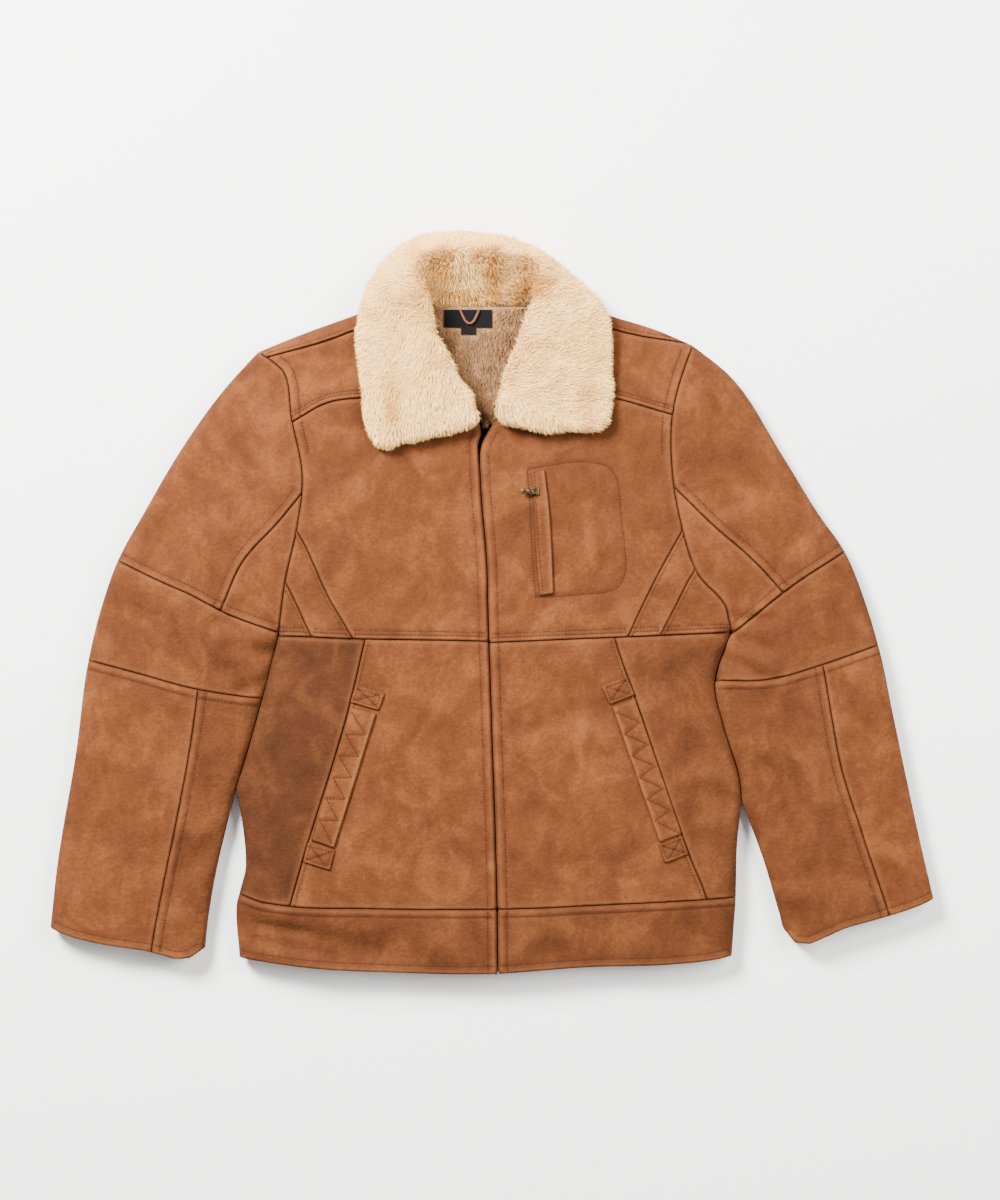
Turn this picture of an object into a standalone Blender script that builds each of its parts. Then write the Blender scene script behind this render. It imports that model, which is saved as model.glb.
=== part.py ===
"""A men's shearling jacket, zipped up and laid flat on its back with its sleeves beside it.

The frame: X to the wearer's left, Y to the collar, Z up from the surface that it lies on, with the origin
below the middle of the jacket. Each panel is a wall as thick as its skin and pile, drawn by cutting the plan
of the body or of a sleeve along its seams. Front panels lie on back panels, pile to pile. Plan tables are in
millimetres, each row an x and a y, and the model is in metres.
"""

import math

import bmesh
import bpy
import numpy as np
from mathutils import Vector
from mathutils.geometry import delaunay_2d_cdt

MM = 0.001

# Walls and gaps, in mm
WALL = 11.5  # suede skin with its pile
PILE_GAP = 1.5  # between the pile of the front and of the back
SEAM_GAP = 0.3
SEAT_GAP = 0.45  # below what lies on a panel
MIDDLE = WALL + PILE_GAP / 2  # height where front and back meet at the sides
FLAT_TOP = 2 * MIDDLE
RIM_ROUND = 16.0  # how far in from a side edge the wall rounds off
RIM_LEAST = 2.0  # wall left at the very edge
CROWN = 4.5  # how much the front swells away from its edges
CROWN_REACH = 90.0

# Spacing of the points that a panel is made of, in mm
ALONG_CURVES = 17.0
OVER_PANELS = 23.0
ALONG_RIMS = 5.0
LEAST_ALONG_SEAM = 4.0
LEAST_ALONG_EDGE = 1.2
RIM_ROWS = (3.0, 8.5, 16.0)

# Edges of the plan, down each side. Columns: x, y
SHOULDER_RIGHT = ((-118, 321), (-147, 310), (-205, 289), (-253, 269.6))
SHOULDER_LEFT = ((100, 318), (124, 310), (179, 293), (217, 276.7))
ARMHOLE_RIGHT = (
    (-253, 269.6),
    (-226, 249),
    (-215.6, 195.8),
    (-204, 132),
    (-210.9, 74),
    (-222.6, 22.5),
    (-230.8, -36),
)
ARMHOLE_LEFT = (
    (217, 276.7),
    (204.7, 243.2),
    (194, 198.6),
    (193.5, 150),
    (204.7, 79.6),
    (222, 29),
    (253, -8),
    (258, -34),
)
OVER_SIDE_RIGHT = ((-230.8, -36), (-248, -103), (-265.9, -166.9), (-277, -202.7))
OVER_SIDE_LEFT = ((258, -34), (241, -88), (252.6, -142), (267, -190), (270, -216.4))
BODY_SIDE_RIGHT = ((-277, -202.7), (-268.4, -256), (-267, -290), (-276, -325), (-273.3, -385))
BODY_SIDE_LEFT = ((270, -216.4), (265, -268.5), (264, -320), (260.6, -367.6), (259.5, -383.7))
SLEEVE_INNER_RIGHT = ((-277, -202.7), (-286, -239), (-298.1, -290.8), (-308, -350.4), (-310.5, -375))
SLEEVE_INNER_LEFT = ((270, -216.4), (282.4, -248.6), (295, -284), (307.2, -325.5), (315.9, -355.3))
SLEEVE_OUTER_RIGHT = (
    (-253, 269.6),
    (-288.3, 231),
    (-332.7, 170),
    (-377, 95),
    (-405, 44),
    (-423, -7),
    (-438, -70),
    (-449.4, -157),
    (-471.6, -293.3),
    (-477.9, -352.8),
)
SLEEVE_OUTER_LEFT = (
    (217, 276.7),
    (255.5, 245.7),
    (315, 156.5),
    (355, 92),
    (381, 55),
    (403, 2),
    (419, -51),
    (436.1, -132),
    (465.9, -271),
    (477.8, -321.8),
)
CUFF_RIGHT = ((-477.9, -352.8), (-466.8, -357.7), (-372.5, -377.6), (-325.4, -385), (-310.5, -375))
CUFF_LEFT = ((477.8, -321.8), (463.4, -328), (381.6, -352.8), (327, -368.9), (315.9, -355.3))
HEM = (
    (-273.3, -385),
    (-251, -388.7),
    (-186.3, -396.5),
    (-105.7, -400.5),
    (2.1, -401.9),
    (94.5, -395.2),
    (203, -391.2),
    (240.2, -387.5),
    (259.5, -383.7),
)
BACK_NECK = ((100, 318), (70, 319), (38, 318.6), (-24, 318.6), (-64, 318.6), (-90, 319.5), (-118, 321))

# Seams, each run past the edges that it meets. Columns: x, y
SHOULDER_SEAM_RIGHT = ((-112, 332), (-118, 305), (-146, 293), (-175, 282), (-239, 264), (-268, 256))
SHOULDER_SEAM_LEFT = ((96, 330), (103, 305), (129, 294), (213.3, 278), (235, 274))
NECKLINE_RIGHT = ((0, 186), (-14, 190), (-27, 214), (-46, 250), (-68, 288), (-96, 306), (-130, 340))
NECKLINE_LEFT = ((-6, 194), (10, 197), (20, 228), (38, 275), (58, 296), (84, 308), (120, 345))
YOKE_SEAM_RIGHT = ((40, 229), (-60, 224), (-140, 219), (-175, 214.5), (-214.5, 193.4), (-235, 182))
YOKE_SEAM_LEFT = ((-40, 229), (60, 224), (131.5, 218.5), (163.7, 209.7), (193.5, 201), (215, 196))
CHEST_SEAM_RIGHT = ((-250, -38), (-230.8, -37.8), (-154, -40.6), (-14.4, -43.2), (20, -44.5))
CHEST_SEAM_LEFT = ((280, -33), (258.3, -33.8), (132, -39.2), (7.2, -44.5), (-25, -46))
CHEST_STRIP_UPPER_RIGHT = ((-222, 92), (-209.7, 74), (-175, 1.4), (-151.2, -38.9), (-143, -54))
CHEST_STRIP_UPPER_LEFT = ((215, 93), (204.7, 74.6), (176, 22.6), (147.6, -36.9), (140, -54))
CHEST_STRIP_LOWER_RIGHT = ((-234, 38), (-222.6, 19), (-194.5, -39.6), (-187, -54))
CHEST_STRIP_LOWER_LEFT = ((235, 55), (218.3, 32.5), (196, -9.7), (182.3, -35.7), (175, -52))
POCKET_SEAM_RIGHT = (
    (-134, -30),
    (-136.6, -41.9),
    (-151.4, -106.4),
    (-203.8, -281),
    (-217.2, -328),
    (-221, -342),
)
POCKET_SEAM_LEFT = ((129, -30), (132.1, -40.6), (153.6, -103.7), (212, -273), (231.4, -321.3), (236, -337))
HEM_SEAM = (
    (-295, -306),
    (-274.5, -315.6),
    (-251, -324.3),
    (-217.2, -329.3),
    (-132.6, -332),
    (4.4, -332.5),
    (148.2, -326.6),
    (263.7, -319.9),
    (285, -318),
)
UPPER_CROSS_RIGHT = (
    (-425, 53),
    (-404, 43.5),
    (-360.8, 22.5),
    (-323.4, 6),
    (-288.3, -12.6),
    (-229.7, -34.5),
    (-215, -40),
)
UPPER_CROSS_LEFT = ((400, 66), (380.7, 53.6), (315, 10.2), (265.5, -30), (245, -46))
LOWER_CROSS_RIGHT = (
    (-455, -59),
    (-437, -63.9),
    (-384.9, -77.5),
    (-320.4, -94.9),
    (-249, -105.5),
    (-232, -107),
)
LOWER_CROSS_LEFT = ((440, -40), (417.5, -47.8), (356.7, -68.9), (297.2, -85), (240.2, -86), (222, -86))
UPPER_SLANT_RIGHT = ((-190, 136), (-205, 116), (-229.7, 85.8), (-269.5, 41.3), (-289.4, -3.2), (-297, -22))
UPPER_SLANT_LEFT = ((180, 138), (197.2, 121.7), (240.6, 79.6), (275.3, 49.9), (312.6, 10.2), (322, -2))
FOREARM_SEAM_RIGHT = (
    (-315, -82),
    (-316.7, -97.4),
    (-325.4, -159.4),
    (-337.8, -226.4),
    (-365, -365),
    (-369, -390),
)
FOREARM_SEAM_LEFT = (
    (354, -56),
    (356.7, -70.1),
    (364.2, -114.7),
    (376.6, -181.7),
    (396.5, -243.6),
    (428.7, -340.4),
    (435, -360),
)
CENTRE_BACK = ((-24, 340), (-24, 100), (-18, -420))

# The line of the front zip. Columns: x, y, half of the gap between the fronts
CENTRE_FRONT = (
    (-2.5, 350, 11.1),
    (-2.5, 194.4, 11.1),
    (-5.8, 190, 7.5),
    (-8.7, 180.4, 3.6),
    (-13, 168.3, 2.4),
    (-13.8, 158.7, 1.4),
    (-13, 141.5, 1.3),
    (-11, 106.3, 1.3),
    (-7.8, 71.2, 1.3),
    (-5.4, 36, 1.3),
    (-4.5, 0.9, 1.3),
    (-3.2, -46.8, 1.3),
    (0.6, -159, 1.3),
    (3.8, -252.6, 1.3),
    (5.7, -332, 1.3),
    (6.4, -420, 1.3),
)
ZIP_TOP, ZIP_END = (-5.4, 191.5), (6.2, -394)

# What is sewn on, corner by corner. Columns: x, y
POCKET_WELT_RIGHT = ((-152.2, -114.5), (-124.5, -121.2), (-169.7, -266), (-194.4, -258))
POCKET_WELT_LEFT = ((129.4, -114.5), (154.1, -105), (204.7, -250.8), (180.5, -260))
UPPER_TAB_RIGHT = ((-147.3, -90.3), (-115.1, -99.7), (-121.8, -118), (-152.7, -109.1))
UPPER_TAB_LEFT = ((117.3, -91.6), (145.5, -80.9), (154.1, -101), (126.7, -111.8))
LOWER_TAB_RIGHT = ((-198.4, -260), (-168.8, -268), (-174.2, -290.4), (-203.8, -281))
LOWER_TAB_LEFT = ((179.1, -262.1), (204.7, -252.7), (212.1, -272.9), (185.9, -282.3))
CHEST_WELT = ((42.1, 138.3), (45.1, 106.2), (47, 59.6), (51.4, 5.8), (66.6, 7.7), (62.2, 95.4), (56.8, 142))
NECK_LABEL = ((-51.8, 296), (0, 296), (0, 315.4), (-51.8, 315.4))
SIZE_TAG = ((-33.5, 288.4), (-17.3, 288.4), (-17.3, 295.6), (-33.5, 295.6))
HANGER_LOOP = ((-34.6, 315.5), (-31, 307), (-26, 300.5), (-22.5, 300.5), (-17.5, 307), (-14, 315.5))

# The largest folds of the front. Columns: x and y of one end and of the other, half width, depth
FOLDS = (
    (-262, -352, -125, -378, 15, 4.5),
    (-99, -64, -24, -161, 18, 2.6),
    (-256, -288, -234, -322, 10, 2.6),
    (-240, -70, -222, -160, 16, 2.0),
    (-290, -26, -240, -70, 12, 3.0),
    (-299, -258, -326, -290, 11, 2.6),
    (-345, -130, -352, -230, 16, 1.8),
    (295, -107, 322, -193, 13, 3.2),
    (322, -193, 350, -300, 13, 3.2),
    (280, -26, 262, -64, 11, 2.8),
    (-190, 170, -160, 90, 20, 2.0),
    (120, 190, 165, 130, 20, 1.8),
    (60, -90, 30, -230, 22, 1.8),
    (-110, -200, -80, -310, 20, 1.8),
    (90, -340, 220, -362, 15, 2.2),
)

# Collar, from the right front tip round the back to the left one. Columns: x and y of the outer edge, of the
# roll and of the foot, how far the underside has dropped from the body to the surface, arch, ridge height
COLLAR = (
    (-18.7, 188.7, -9.8, 197.4, -13, 195, 0.0, 0.0, 46),
    (-40.7, 179.8, -10.5, 206, -14, 204, 0.0, 0.0, 49),
    (-69.3, 174.3, -13, 215, -17, 213, 0.0, 0.0, 51),
    (-91.5, 168.8, -20, 226, -24, 223, 0.0, 0.0, 52),
    (-109.1, 163.3, -27, 237.5, -31, 234.5, 0.0, 0.0, 53),
    (-124.5, 165.5, -33, 248, -37, 245, 0.0, 0.0, 53),
    (-136.6, 182.1, -40, 261, -44, 258.5, 0.0, 0.0, 54),
    (-143.2, 228.3, -50, 279, -54, 277, 0.0, 0.0, 55),
    (-147.6, 288, -59, 300, -63, 299.5, 0.0, 0.0, 57),
    (-147, 313, -63, 317, -66, 317, 0.0, 0.0, 59),
    (-144, 326, -66, 328, -66, 326, 0.1, 0.2, 60),
    (-138, 343, -72, 345, -63, 322, 0.75, 0.7, 61),
    (-120.1, 369.4, -76, 358, -60, 319.2, 1.0, 1.0, 61),
    (-95, 391, -71, 367, -52, 319.0, 1.0, 1.0, 60),
    (-58.3, 401.2, -50, 372, -42, 319.0, 1.0, 1.0, 60),
    (-20, 401.0, -20, 371, -18, 319.0, 1.0, 1.0, 60),
    (12, 396.5, 10, 370, 8, 319.0, 1.0, 1.0, 60),
    (47.4, 383.7, 35, 367, 26, 319.0, 1.0, 1.0, 60),
    (72, 364, 46, 361, 36, 319.2, 1.0, 1.0, 61),
    (100.3, 345.2, 46, 348, 39, 321.5, 0.75, 0.7, 61),
    (113, 330, 42, 334, 42, 330, 0.1, 0.2, 60),
    (122, 316, 37, 318, 41, 318, 0.0, 0.0, 59),
    (127.5, 298, 31, 300, 35, 300, 0.0, 0.0, 57),
    (129.5, 260, 18, 264, 22, 263, 0.0, 0.0, 55),
    (130, 206, 7, 238, 11, 236, 0.0, 0.0, 54),
    (126.5, 187.5, 3.5, 226, 8, 223, 0.0, 0.0, 53),
    (113.5, 179.8, 1.8, 218, 6, 215, 0.0, 0.0, 53),
    (82.7, 180.9, 1.1, 212, 5.5, 210, 0.0, 0.0, 52),
    (40, 182.5, 1.5, 205, 6, 203, 0.0, 0.0, 50),
    (9.9, 188.7, 2.2, 199.7, 5.5, 197, 0.0, 0.0, 46),
)
FUR_EDGE = 17.0  # height of the collar's outer edge above what it lies on
COLLAR_WALL = 15.0
COLLAR_BED = 0.6
FOOT_TOP = 12.0
FLOOR_GAP = 0.3
FOOT_THICK = 9.0

# Rings round the collar's fold. Columns: share of the way from outer edge to roll, share of the climb
OVER_FALL = ((0.16, 0.0), (0.45, 0.6), (0.76, 0.96))
UNDER_FALL = ((0.84, 0.9), (0.45, 0.55))

# Zips, in mm
TAPE_HALF = 14.0
TAPE_LOW, TAPE_HIGH = 11.8, 12.7
CHAIN_HALF = 1.15
CHAIN_LOW, CHAIN_HIGH = 13.0, 17.5
FRONT_SLIDER = (-7.0, 190.5, 20.6)
FRONT_SLIDER_SIZE = (8.0, 12.0, 5.4)
SLIDER_BEVEL = 1.0
PULL_HINGE = (44.6, 118.0, 35.6)
PULL_LENGTH, PULL_WIDTH, PULL_THICK = 13.5, 5.0, 1.4
PULL_BEVEL = 0.4
NECK_LENGTH, NECK_WIDTH, NECK_THICK = 4.2, 2.4, 1.3
NECK_AHEAD = 1.6  # from the hinge to the middle of the pull's neck
PLATE_AHEAD = 2.6  # from the hinge to the pull's plate
BELOW_PULL = 0.6
EAR_LONG, EAR_THICK, EAR_HIGH, EAR_SUNK = 3.0, 1.1, 3.4, 0.5
CHEST_SLIDER_SIZE = (8.6, 8.0, 2.6)
CHEST_SLIDER_BEVEL = 0.5

# What is sewn on: thickness of welts and of tabs, and heights inside the neck, in mm
WELT_THICK, TAB_THICK = 1.8, 2.2
LABEL_LOW, LABEL_HIGH = 11.9, 13.0
LOOP_RADIUS, LOOP_HEIGHT = 1.4, 14.75
ALONG_LOOP = 4.0

SUEDE, SUEDE_DARK, FUR = "B4713F", "9C6035", "EBD9B4"
BRASS, TAPE_BROWN, BLACK, TAN = "5B4A33", "2C201A", "17161A", "A5562A"


def linear(channel):
    """One sRGB channel, 0 to 1, as linear light."""
    return channel / 12.92 if channel <= 0.04045 else ((channel + 0.055) / 1.055) ** 2.4


def finish(name, colour, roughness, metallic=0.0):
    """A plain material of one colour."""
    material = bpy.data.materials.new(name)
    material.use_nodes = True
    shader = material.node_tree.nodes["Principled BSDF"]
    channels = [linear(int(colour[k : k + 2], 16) / 255) for k in (0, 2, 4)]
    shader.inputs["Base Color"].default_value = (*channels, 1.0)
    shader.inputs["Roughness"].default_value = roughness
    shader.inputs["Metallic"].default_value = metallic
    return material


def smooth(rows, step=ALONG_CURVES):
    """A smooth run through the rows of a table, with a point about every step mm of its first two columns."""
    knots = np.array(rows, float)
    chords = np.linalg.norm(np.diff(knots[:, :2], axis=0), axis=1)
    along = np.concatenate([[0.0], np.cumsum(chords)])
    slopes = np.gradient(knots, along, axis=0)
    run = []
    for k, chord in enumerate(chords):
        count = max(1, round(chord / step))
        for t in np.arange(count) / count:
            start = (1 + 2 * t) * (1 - t) ** 2 * knots[k] + t * (1 - t) ** 2 * chord * slopes[k]
            end = t * t * (3 - 2 * t) * knots[k + 1] - t * t * (1 - t) * chord * slopes[k + 1]
            run.append(tuple(start + end))
    run.append(tuple(knots[-1]))
    return run


def straight(rows, step=ALONG_CURVES):
    """The rows of a table joined by straight lines, with a point about every step mm."""
    run = []
    for a, b in zip(rows[:-1], rows[1:]):
        count = max(1, round(math.dist(a, b) / step))
        for k in range(count):
            run.append((a[0] + (b[0] - a[0]) * k / count, a[1] + (b[1] - a[1]) * k / count))
    run.append(tuple(rows[-1]))
    return run


def area_of(outline):
    """The area of an outline, above zero when it runs anticlockwise."""
    ring = np.array(outline)
    following = np.roll(ring, -1, axis=0)
    return float((ring[:, 0] * following[:, 1] - following[:, 0] * ring[:, 1]).sum() / 2)


def closed(*runs):
    """The runs joined end to end as one anticlockwise outline."""
    outline = []
    for run in runs:
        for point in run:
            if not outline or math.dist(point, outline[-1]) > 0.01:
                outline.append(tuple(point))
    if math.dist(outline[0], outline[-1]) < 0.01:
        outline.pop()
    return outline if area_of(outline) > 0 else outline[::-1]


def crossing(a, b, c, d):
    """Where segment ab crosses segment cd: the share along each, or None."""
    across = (b[0] - a[0]) * (d[1] - c[1]) - (b[1] - a[1]) * (d[0] - c[0])
    if abs(across) < 1e-9:
        return None
    t = ((c[0] - a[0]) * (d[1] - c[1]) - (c[1] - a[1]) * (d[0] - c[0])) / across
    u = ((c[0] - a[0]) * (b[1] - a[1]) - (c[1] - a[1]) * (b[0] - a[0])) / across
    return (t, u) if 0 <= t <= 1 and 0 <= u < 1 else None


def stretch(outline, start, end):
    """The outline's points after one place on it and up to another, going forward."""
    count = len(outline)
    if end <= start:
        end += count
    return [outline[k % count] for k in range(math.floor(start) + 1, math.floor(end) + 1)]


def cut(outline, line):
    """An outline cut along a line that crosses it: what is left of the line, then what is right of it."""
    found = []
    for i in range(len(line) - 1):
        for j in range(len(outline)):
            hit = crossing(line[i], line[i + 1], outline[j], outline[(j + 1) % len(outline)])
            if hit:
                a, b = np.array(line[i]), np.array(line[i + 1])
                found.append((i + hit[0], j + hit[1], tuple(a + hit[0] * (b - a))))
    if len(found) < 2:
        raise ValueError(f"the line from {line[0]} crosses the outline {len(found)} times")
    found.sort()
    first, last = found[0], found[-1]

    def spaced(points, least):
        return [p for p in points if min(math.dist(p, first[2]), math.dist(p, last[2])) > least]

    inside = [line[k] for k in range(math.floor(first[0]) + 1, math.floor(last[0]) + 1)]
    path = [first[2], *spaced(inside, LEAST_ALONG_SEAM), last[2]]
    left = path + spaced(stretch(outline, last[1], first[1]), LEAST_ALONG_EDGE)
    right = path[::-1] + spaced(stretch(outline, first[1], last[1]), LEAST_ALONG_EDGE)
    return closed(left), closed(right)


def higher_first(pair):
    """Two outlines, the one nearer the collar first."""
    return sorted(pair, key=lambda outline: -np.mean([p[1] for p in outline]))


def nearer_first(pair):
    """Two outlines, the one nearer the centre front first."""
    return sorted(pair, key=lambda outline: abs(np.mean([p[0] for p in outline])))


def inset(outline, by=SEAM_GAP / 2):
    """An anticlockwise outline drawn in by a small amount."""
    ring = np.array(outline)
    ahead = np.roll(ring, -1, axis=0) - ring
    ahead /= np.linalg.norm(ahead, axis=1)[:, None]
    inward = np.stack([-ahead[:, 1], ahead[:, 0]], axis=1)
    before = np.roll(inward, 1, axis=0)
    bend = np.maximum(1 + (inward * before).sum(axis=1), 0.3)
    moved = ring + by * (inward + before) / bend[:, None]
    return [tuple(p) for p in moved]


def distance_to(points, run):
    """How far each point is from a run of straight segments."""
    p = np.array(points, float)[:, None, :]
    a = np.array(run[:-1], float)[None, :, :2]
    b = np.array(run[1:], float)[None, :, :2]
    along = ((p - a) * (b - a)).sum(-1) / ((b - a) ** 2).sum(-1)
    nearest = a + np.clip(along, 0, 1)[..., None] * (b - a)
    return np.linalg.norm(p - nearest, axis=-1).min(axis=1)


def is_inside(points, outline):
    """Which points lie inside an outline."""
    p = np.array(points, float)
    a = np.array(outline)[None]
    b = np.roll(a, -1, axis=1)
    x, y = p[:, 0:1], p[:, 1:2]
    spans = (a[..., 1] > y) != (b[..., 1] > y)
    rise = np.where(b[..., 1] == a[..., 1], 1.0, b[..., 1] - a[..., 1])
    meets = a[..., 0] + (y - a[..., 1]) * (b[..., 0] - a[..., 0]) / rise
    return (spans & (x < meets)).sum(axis=1) % 2 == 1


# The runs that both a panel and its neighbour are cut from
shoulder = {"right": smooth(SHOULDER_RIGHT), "left": smooth(SHOULDER_LEFT)}
armhole = {"right": smooth(ARMHOLE_RIGHT), "left": smooth(ARMHOLE_LEFT)}
over_side = {"right": smooth(OVER_SIDE_RIGHT), "left": smooth(OVER_SIDE_LEFT)}
body_side = {"right": smooth(BODY_SIDE_RIGHT), "left": smooth(BODY_SIDE_LEFT)}
sleeve_inner = {"right": smooth(SLEEVE_INNER_RIGHT), "left": smooth(SLEEVE_INNER_LEFT)}
sleeve_outer = {"right": smooth(SLEEVE_OUTER_RIGHT), "left": smooth(SLEEVE_OUTER_LEFT)}
RIM_TABLES = (shoulder, over_side, body_side, sleeve_inner, sleeve_outer)
RIMS = [run for table in RIM_TABLES for run in table.values()]


def from_rims(points):
    """How far each point is from the nearest side edge."""
    return np.min([distance_to(points, run) for run in RIMS], axis=0)


def rounding(from_edge):
    """0 at a side edge, 1 where the wall has reached its full height."""
    return np.sqrt(1 - (1 - np.minimum(from_edge / RIM_ROUND, 1)) ** 2)


def swell(from_edge):
    """How far the front stands up above its flat height."""
    share = np.minimum(from_edge / CROWN_REACH, 1)
    return CROWN * share * share * (3 - 2 * share)


def fold_depth(points):
    """How far the folds press the front in."""
    depth = np.zeros(len(points))
    for x0, y0, x1, y1, half_width, deepest in FOLDS:
        away = distance_to(points, ((x0, y0), (x1, y1)))
        depth += deepest * np.exp(-((away / half_width) ** 2))
    return depth


def front_top(points):
    """The height of the front's outer skin."""
    edge = from_rims(points)
    rise = (FLAT_TOP - MIDDLE - RIM_LEAST) * rounding(edge)
    return MIDDLE + RIM_LEAST + rise + swell(edge) - fold_depth(points) * rounding(edge)


def front_under(points):
    """The height of the front's pile face."""
    return MIDDLE + SEAM_GAP / 2 + (PILE_GAP - SEAM_GAP) / 2 * np.minimum(from_rims(points) / RIM_ROUND, 1)


def back_top(points):
    """The height of the back's pile face."""
    return 2 * MIDDLE - front_under(points)


def back_under(points):
    """The height of the back's outer skin, flat on the surface but for its rounded edges."""
    return (MIDDLE - RIM_LEAST) * (1 - rounding(from_rims(points)))


def above_front(gap):
    """A height that lies a gap above the front's outer skin."""
    return lambda points: front_top(points) + gap


def level(height):
    """The same height everywhere."""
    return lambda points: np.full(len(points), float(height))


def refined(outline):
    """The outline with more points where it crosses a rounded rim."""
    ring = []
    count = len(outline)
    edge = from_rims(outline)
    for k in range(count):
        a, b = outline[k], outline[(k + 1) % count]
        near, far = sorted((edge[k], edge[(k + 1) % count]))
        crosses = near < RIM_ROUND and far - near > 1.0
        parts = max(1, round(math.dist(a, b) / ALONG_RIMS)) if crosses else 1
        for n in range(parts):
            ring.append((a[0] + (b[0] - a[0]) * n / parts, a[1] + (b[1] - a[1]) * n / parts))
    return ring


def beside(run, away):
    """The points of a run moved sideways, to both sides."""
    line = np.array(run)[:, :2]
    ahead = np.gradient(line, axis=0)
    ahead /= np.linalg.norm(ahead, axis=1)[:, None]
    aside = np.stack([-ahead[:, 1], ahead[:, 0]], axis=1)
    return np.concatenate([line + away * aside, line - away * aside])


def inner_points(outline, spacing):
    """Points over a panel: rows along its rounded rims, rows along its folds and a grid elsewhere."""
    rows = []
    for away in RIM_ROWS:
        candidates = np.concatenate([beside(run, away) for run in RIMS])
        rows.append(candidates[abs(from_rims(candidates) - away) < 0.12 * away])
    if spacing:
        for x0, y0, x1, y1, half_width, _ in FOLDS:
            middle = straight(((x0, y0), (x1, y1)), spacing)
            folds = np.concatenate([middle, beside(middle, half_width)])
            rows.append(folds[from_rims(folds) > RIM_ROUND + 4])
        ring = np.array(outline)
        low, high = ring.min(axis=0), ring.max(axis=0)
        xs = np.arange(low[0] + spacing / 2, high[0], spacing)
        ys = np.arange(low[1] + spacing / 2, high[1], spacing)
        grid = np.array([(x, y) for x in xs for y in ys]).reshape(-1, 2)
        if len(grid):
            rows.append(grid[from_rims(grid) > RIM_ROUND + spacing / 3])
    kept = []
    for number, row in enumerate(rows):
        row = row[is_inside(row, outline)] if len(row) else row
        if not len(row):
            continue
        clear = 1.6 if number < len(RIM_ROWS) else spacing / 3
        row = row[distance_to(row, [*outline, outline[0]]) > clear]
        for point in row:
            if all(math.dist(point, other) > clear for other in kept):
                kept.append(tuple(point))
    return kept


def filled(outline, inner):
    """Triangles over an outline through its inner points: the plan points and the anticlockwise faces."""
    plan = [Vector(p) for p in [*outline, *inner]]
    points, _, faces, _, _, _ = delaunay_2d_cdt(plan, [], [list(range(len(outline)))], 1, 1e-4)
    return [tuple(p) for p in points], [tuple(face) for face in faces]


def key_of(point):
    return (round(point[0], 2), round(point[1], 2))


def place(obj, mesh, material):
    obj.data.materials.append(material)
    mesh.to_mesh(obj.data)
    mesh.free()
    obj.data.set_sharp_from_angle(angle=math.radians(35))
    jacket.objects.link(obj)


def panel(name, parts, under, material, spacing=OVER_PANELS):
    """A wall over one or more outlines that share edges, each with its own height above one underside."""
    mesh = bmesh.new()
    columns = {}
    roofs, floors, edges = [], [], {}

    def corner(point, height):
        column = columns.setdefault(key_of(point), {})
        step = round(float(height), 3)
        if step not in column:
            column[step] = mesh.verts.new((point[0] * MM, point[1] * MM, height * MM))
        return column[step]

    for outline, top in parts:
        ring = refined(outline)
        points, faces = filled(ring, inner_points(ring, spacing))
        corners = [corner(p, z) for p, z in zip(points, top(points))]
        roofs += [[corners[k] for k in face] for face in faces]
        rim_rows = inner_points(ring, 0) if under is back_under else []
        under_points, under_faces = filled(ring, rim_rows)
        lows = [corner(p, z) for p, z in zip(under_points, under(under_points))]
        floors += [[lows[k] for k in face[::-1]] for face in under_faces]
        low_at = {key_of(p): vertex for p, vertex in zip(under_points, lows)}
        sides = {(face[k], face[(k + 1) % 3]) for face in faces for k in range(3)}
        for i, j in sides:
            if (j, i) not in sides:
                start, end = key_of(points[i]), key_of(points[j])
                edges[start, end] = (corners[i], corners[j], low_at[start], low_at[end])
    for (start, end), (top_start, top_end, low_start, low_end) in edges.items():
        other = edges.get((end, start))
        if other:
            low_end, low_start = other[0], other[1]
            if low_start.co.z > top_start.co.z:
                continue
            roofs.append([low_start, low_end, top_end, top_start])
            continue
        climb = sorted(columns[end].values(), key=lambda v: v.co.z)
        fall = sorted(columns[start].values(), key=lambda v: -v.co.z)
        climb = [v for v in climb if low_end.co.z <= v.co.z <= top_end.co.z]
        fall = [v for v in fall if low_start.co.z < v.co.z <= top_start.co.z]
        roofs.append([low_start, *climb, *fall])
    for face in roofs + floors:
        mesh.faces.new(face)
    place(bpy.data.objects.new(name, bpy.data.meshes.new(name)), mesh, material)


def front_panel(name, outline, material):
    panel(name, [(inset(outline), front_top)], front_under, material)


def back_panel(name, outline, material):
    panel(name, [(inset(outline), back_top)], back_under, material, spacing=0)


def patch(name, rows, gap, thickness, material):
    """A flat piece sewn on a front panel, following its surface."""
    outline = closed(straight([*rows, rows[0]], OVER_PANELS))
    panel(name, [(inset(outline), above_front(gap + thickness))], above_front(gap), material, spacing=0)


def strip(name, line, half_width, low, high, material):
    """A level strip along a line."""
    run = np.array(straight(line, 60.0))
    sides = beside(run, half_width)
    outline = closed(sides[: len(run)], sides[len(run) :][::-1])
    panel(name, [(outline, level(high))], level(low), material, spacing=0)


def back_pieces(suede):
    """The halves of the back, which wrap over the shoulders to the front shoulder seams, and the hem band."""
    body = body_outline()
    upper, band = higher_first(cut(body, smooth(HEM_SEAM)))
    back_panel("back_hem_band", band, suede)
    halves = sorted(cut(upper, straight(CENTRE_BACK)), key=lambda outline: np.mean([p[0] for p in outline]))
    seams = {"right": SHOULDER_SEAM_RIGHT, "left": SHOULDER_SEAM_LEFT}
    for (side, seam), half in zip(seams.items(), halves):
        shifted = [(x, y + SEAM_GAP / 2) for x, y in smooth(seam)]
        over, below = higher_first(cut(inset(half), shifted))
        panel(f"back_{side}", [(below, back_top), (over, front_top)], back_under, suede, spacing=0)


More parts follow.
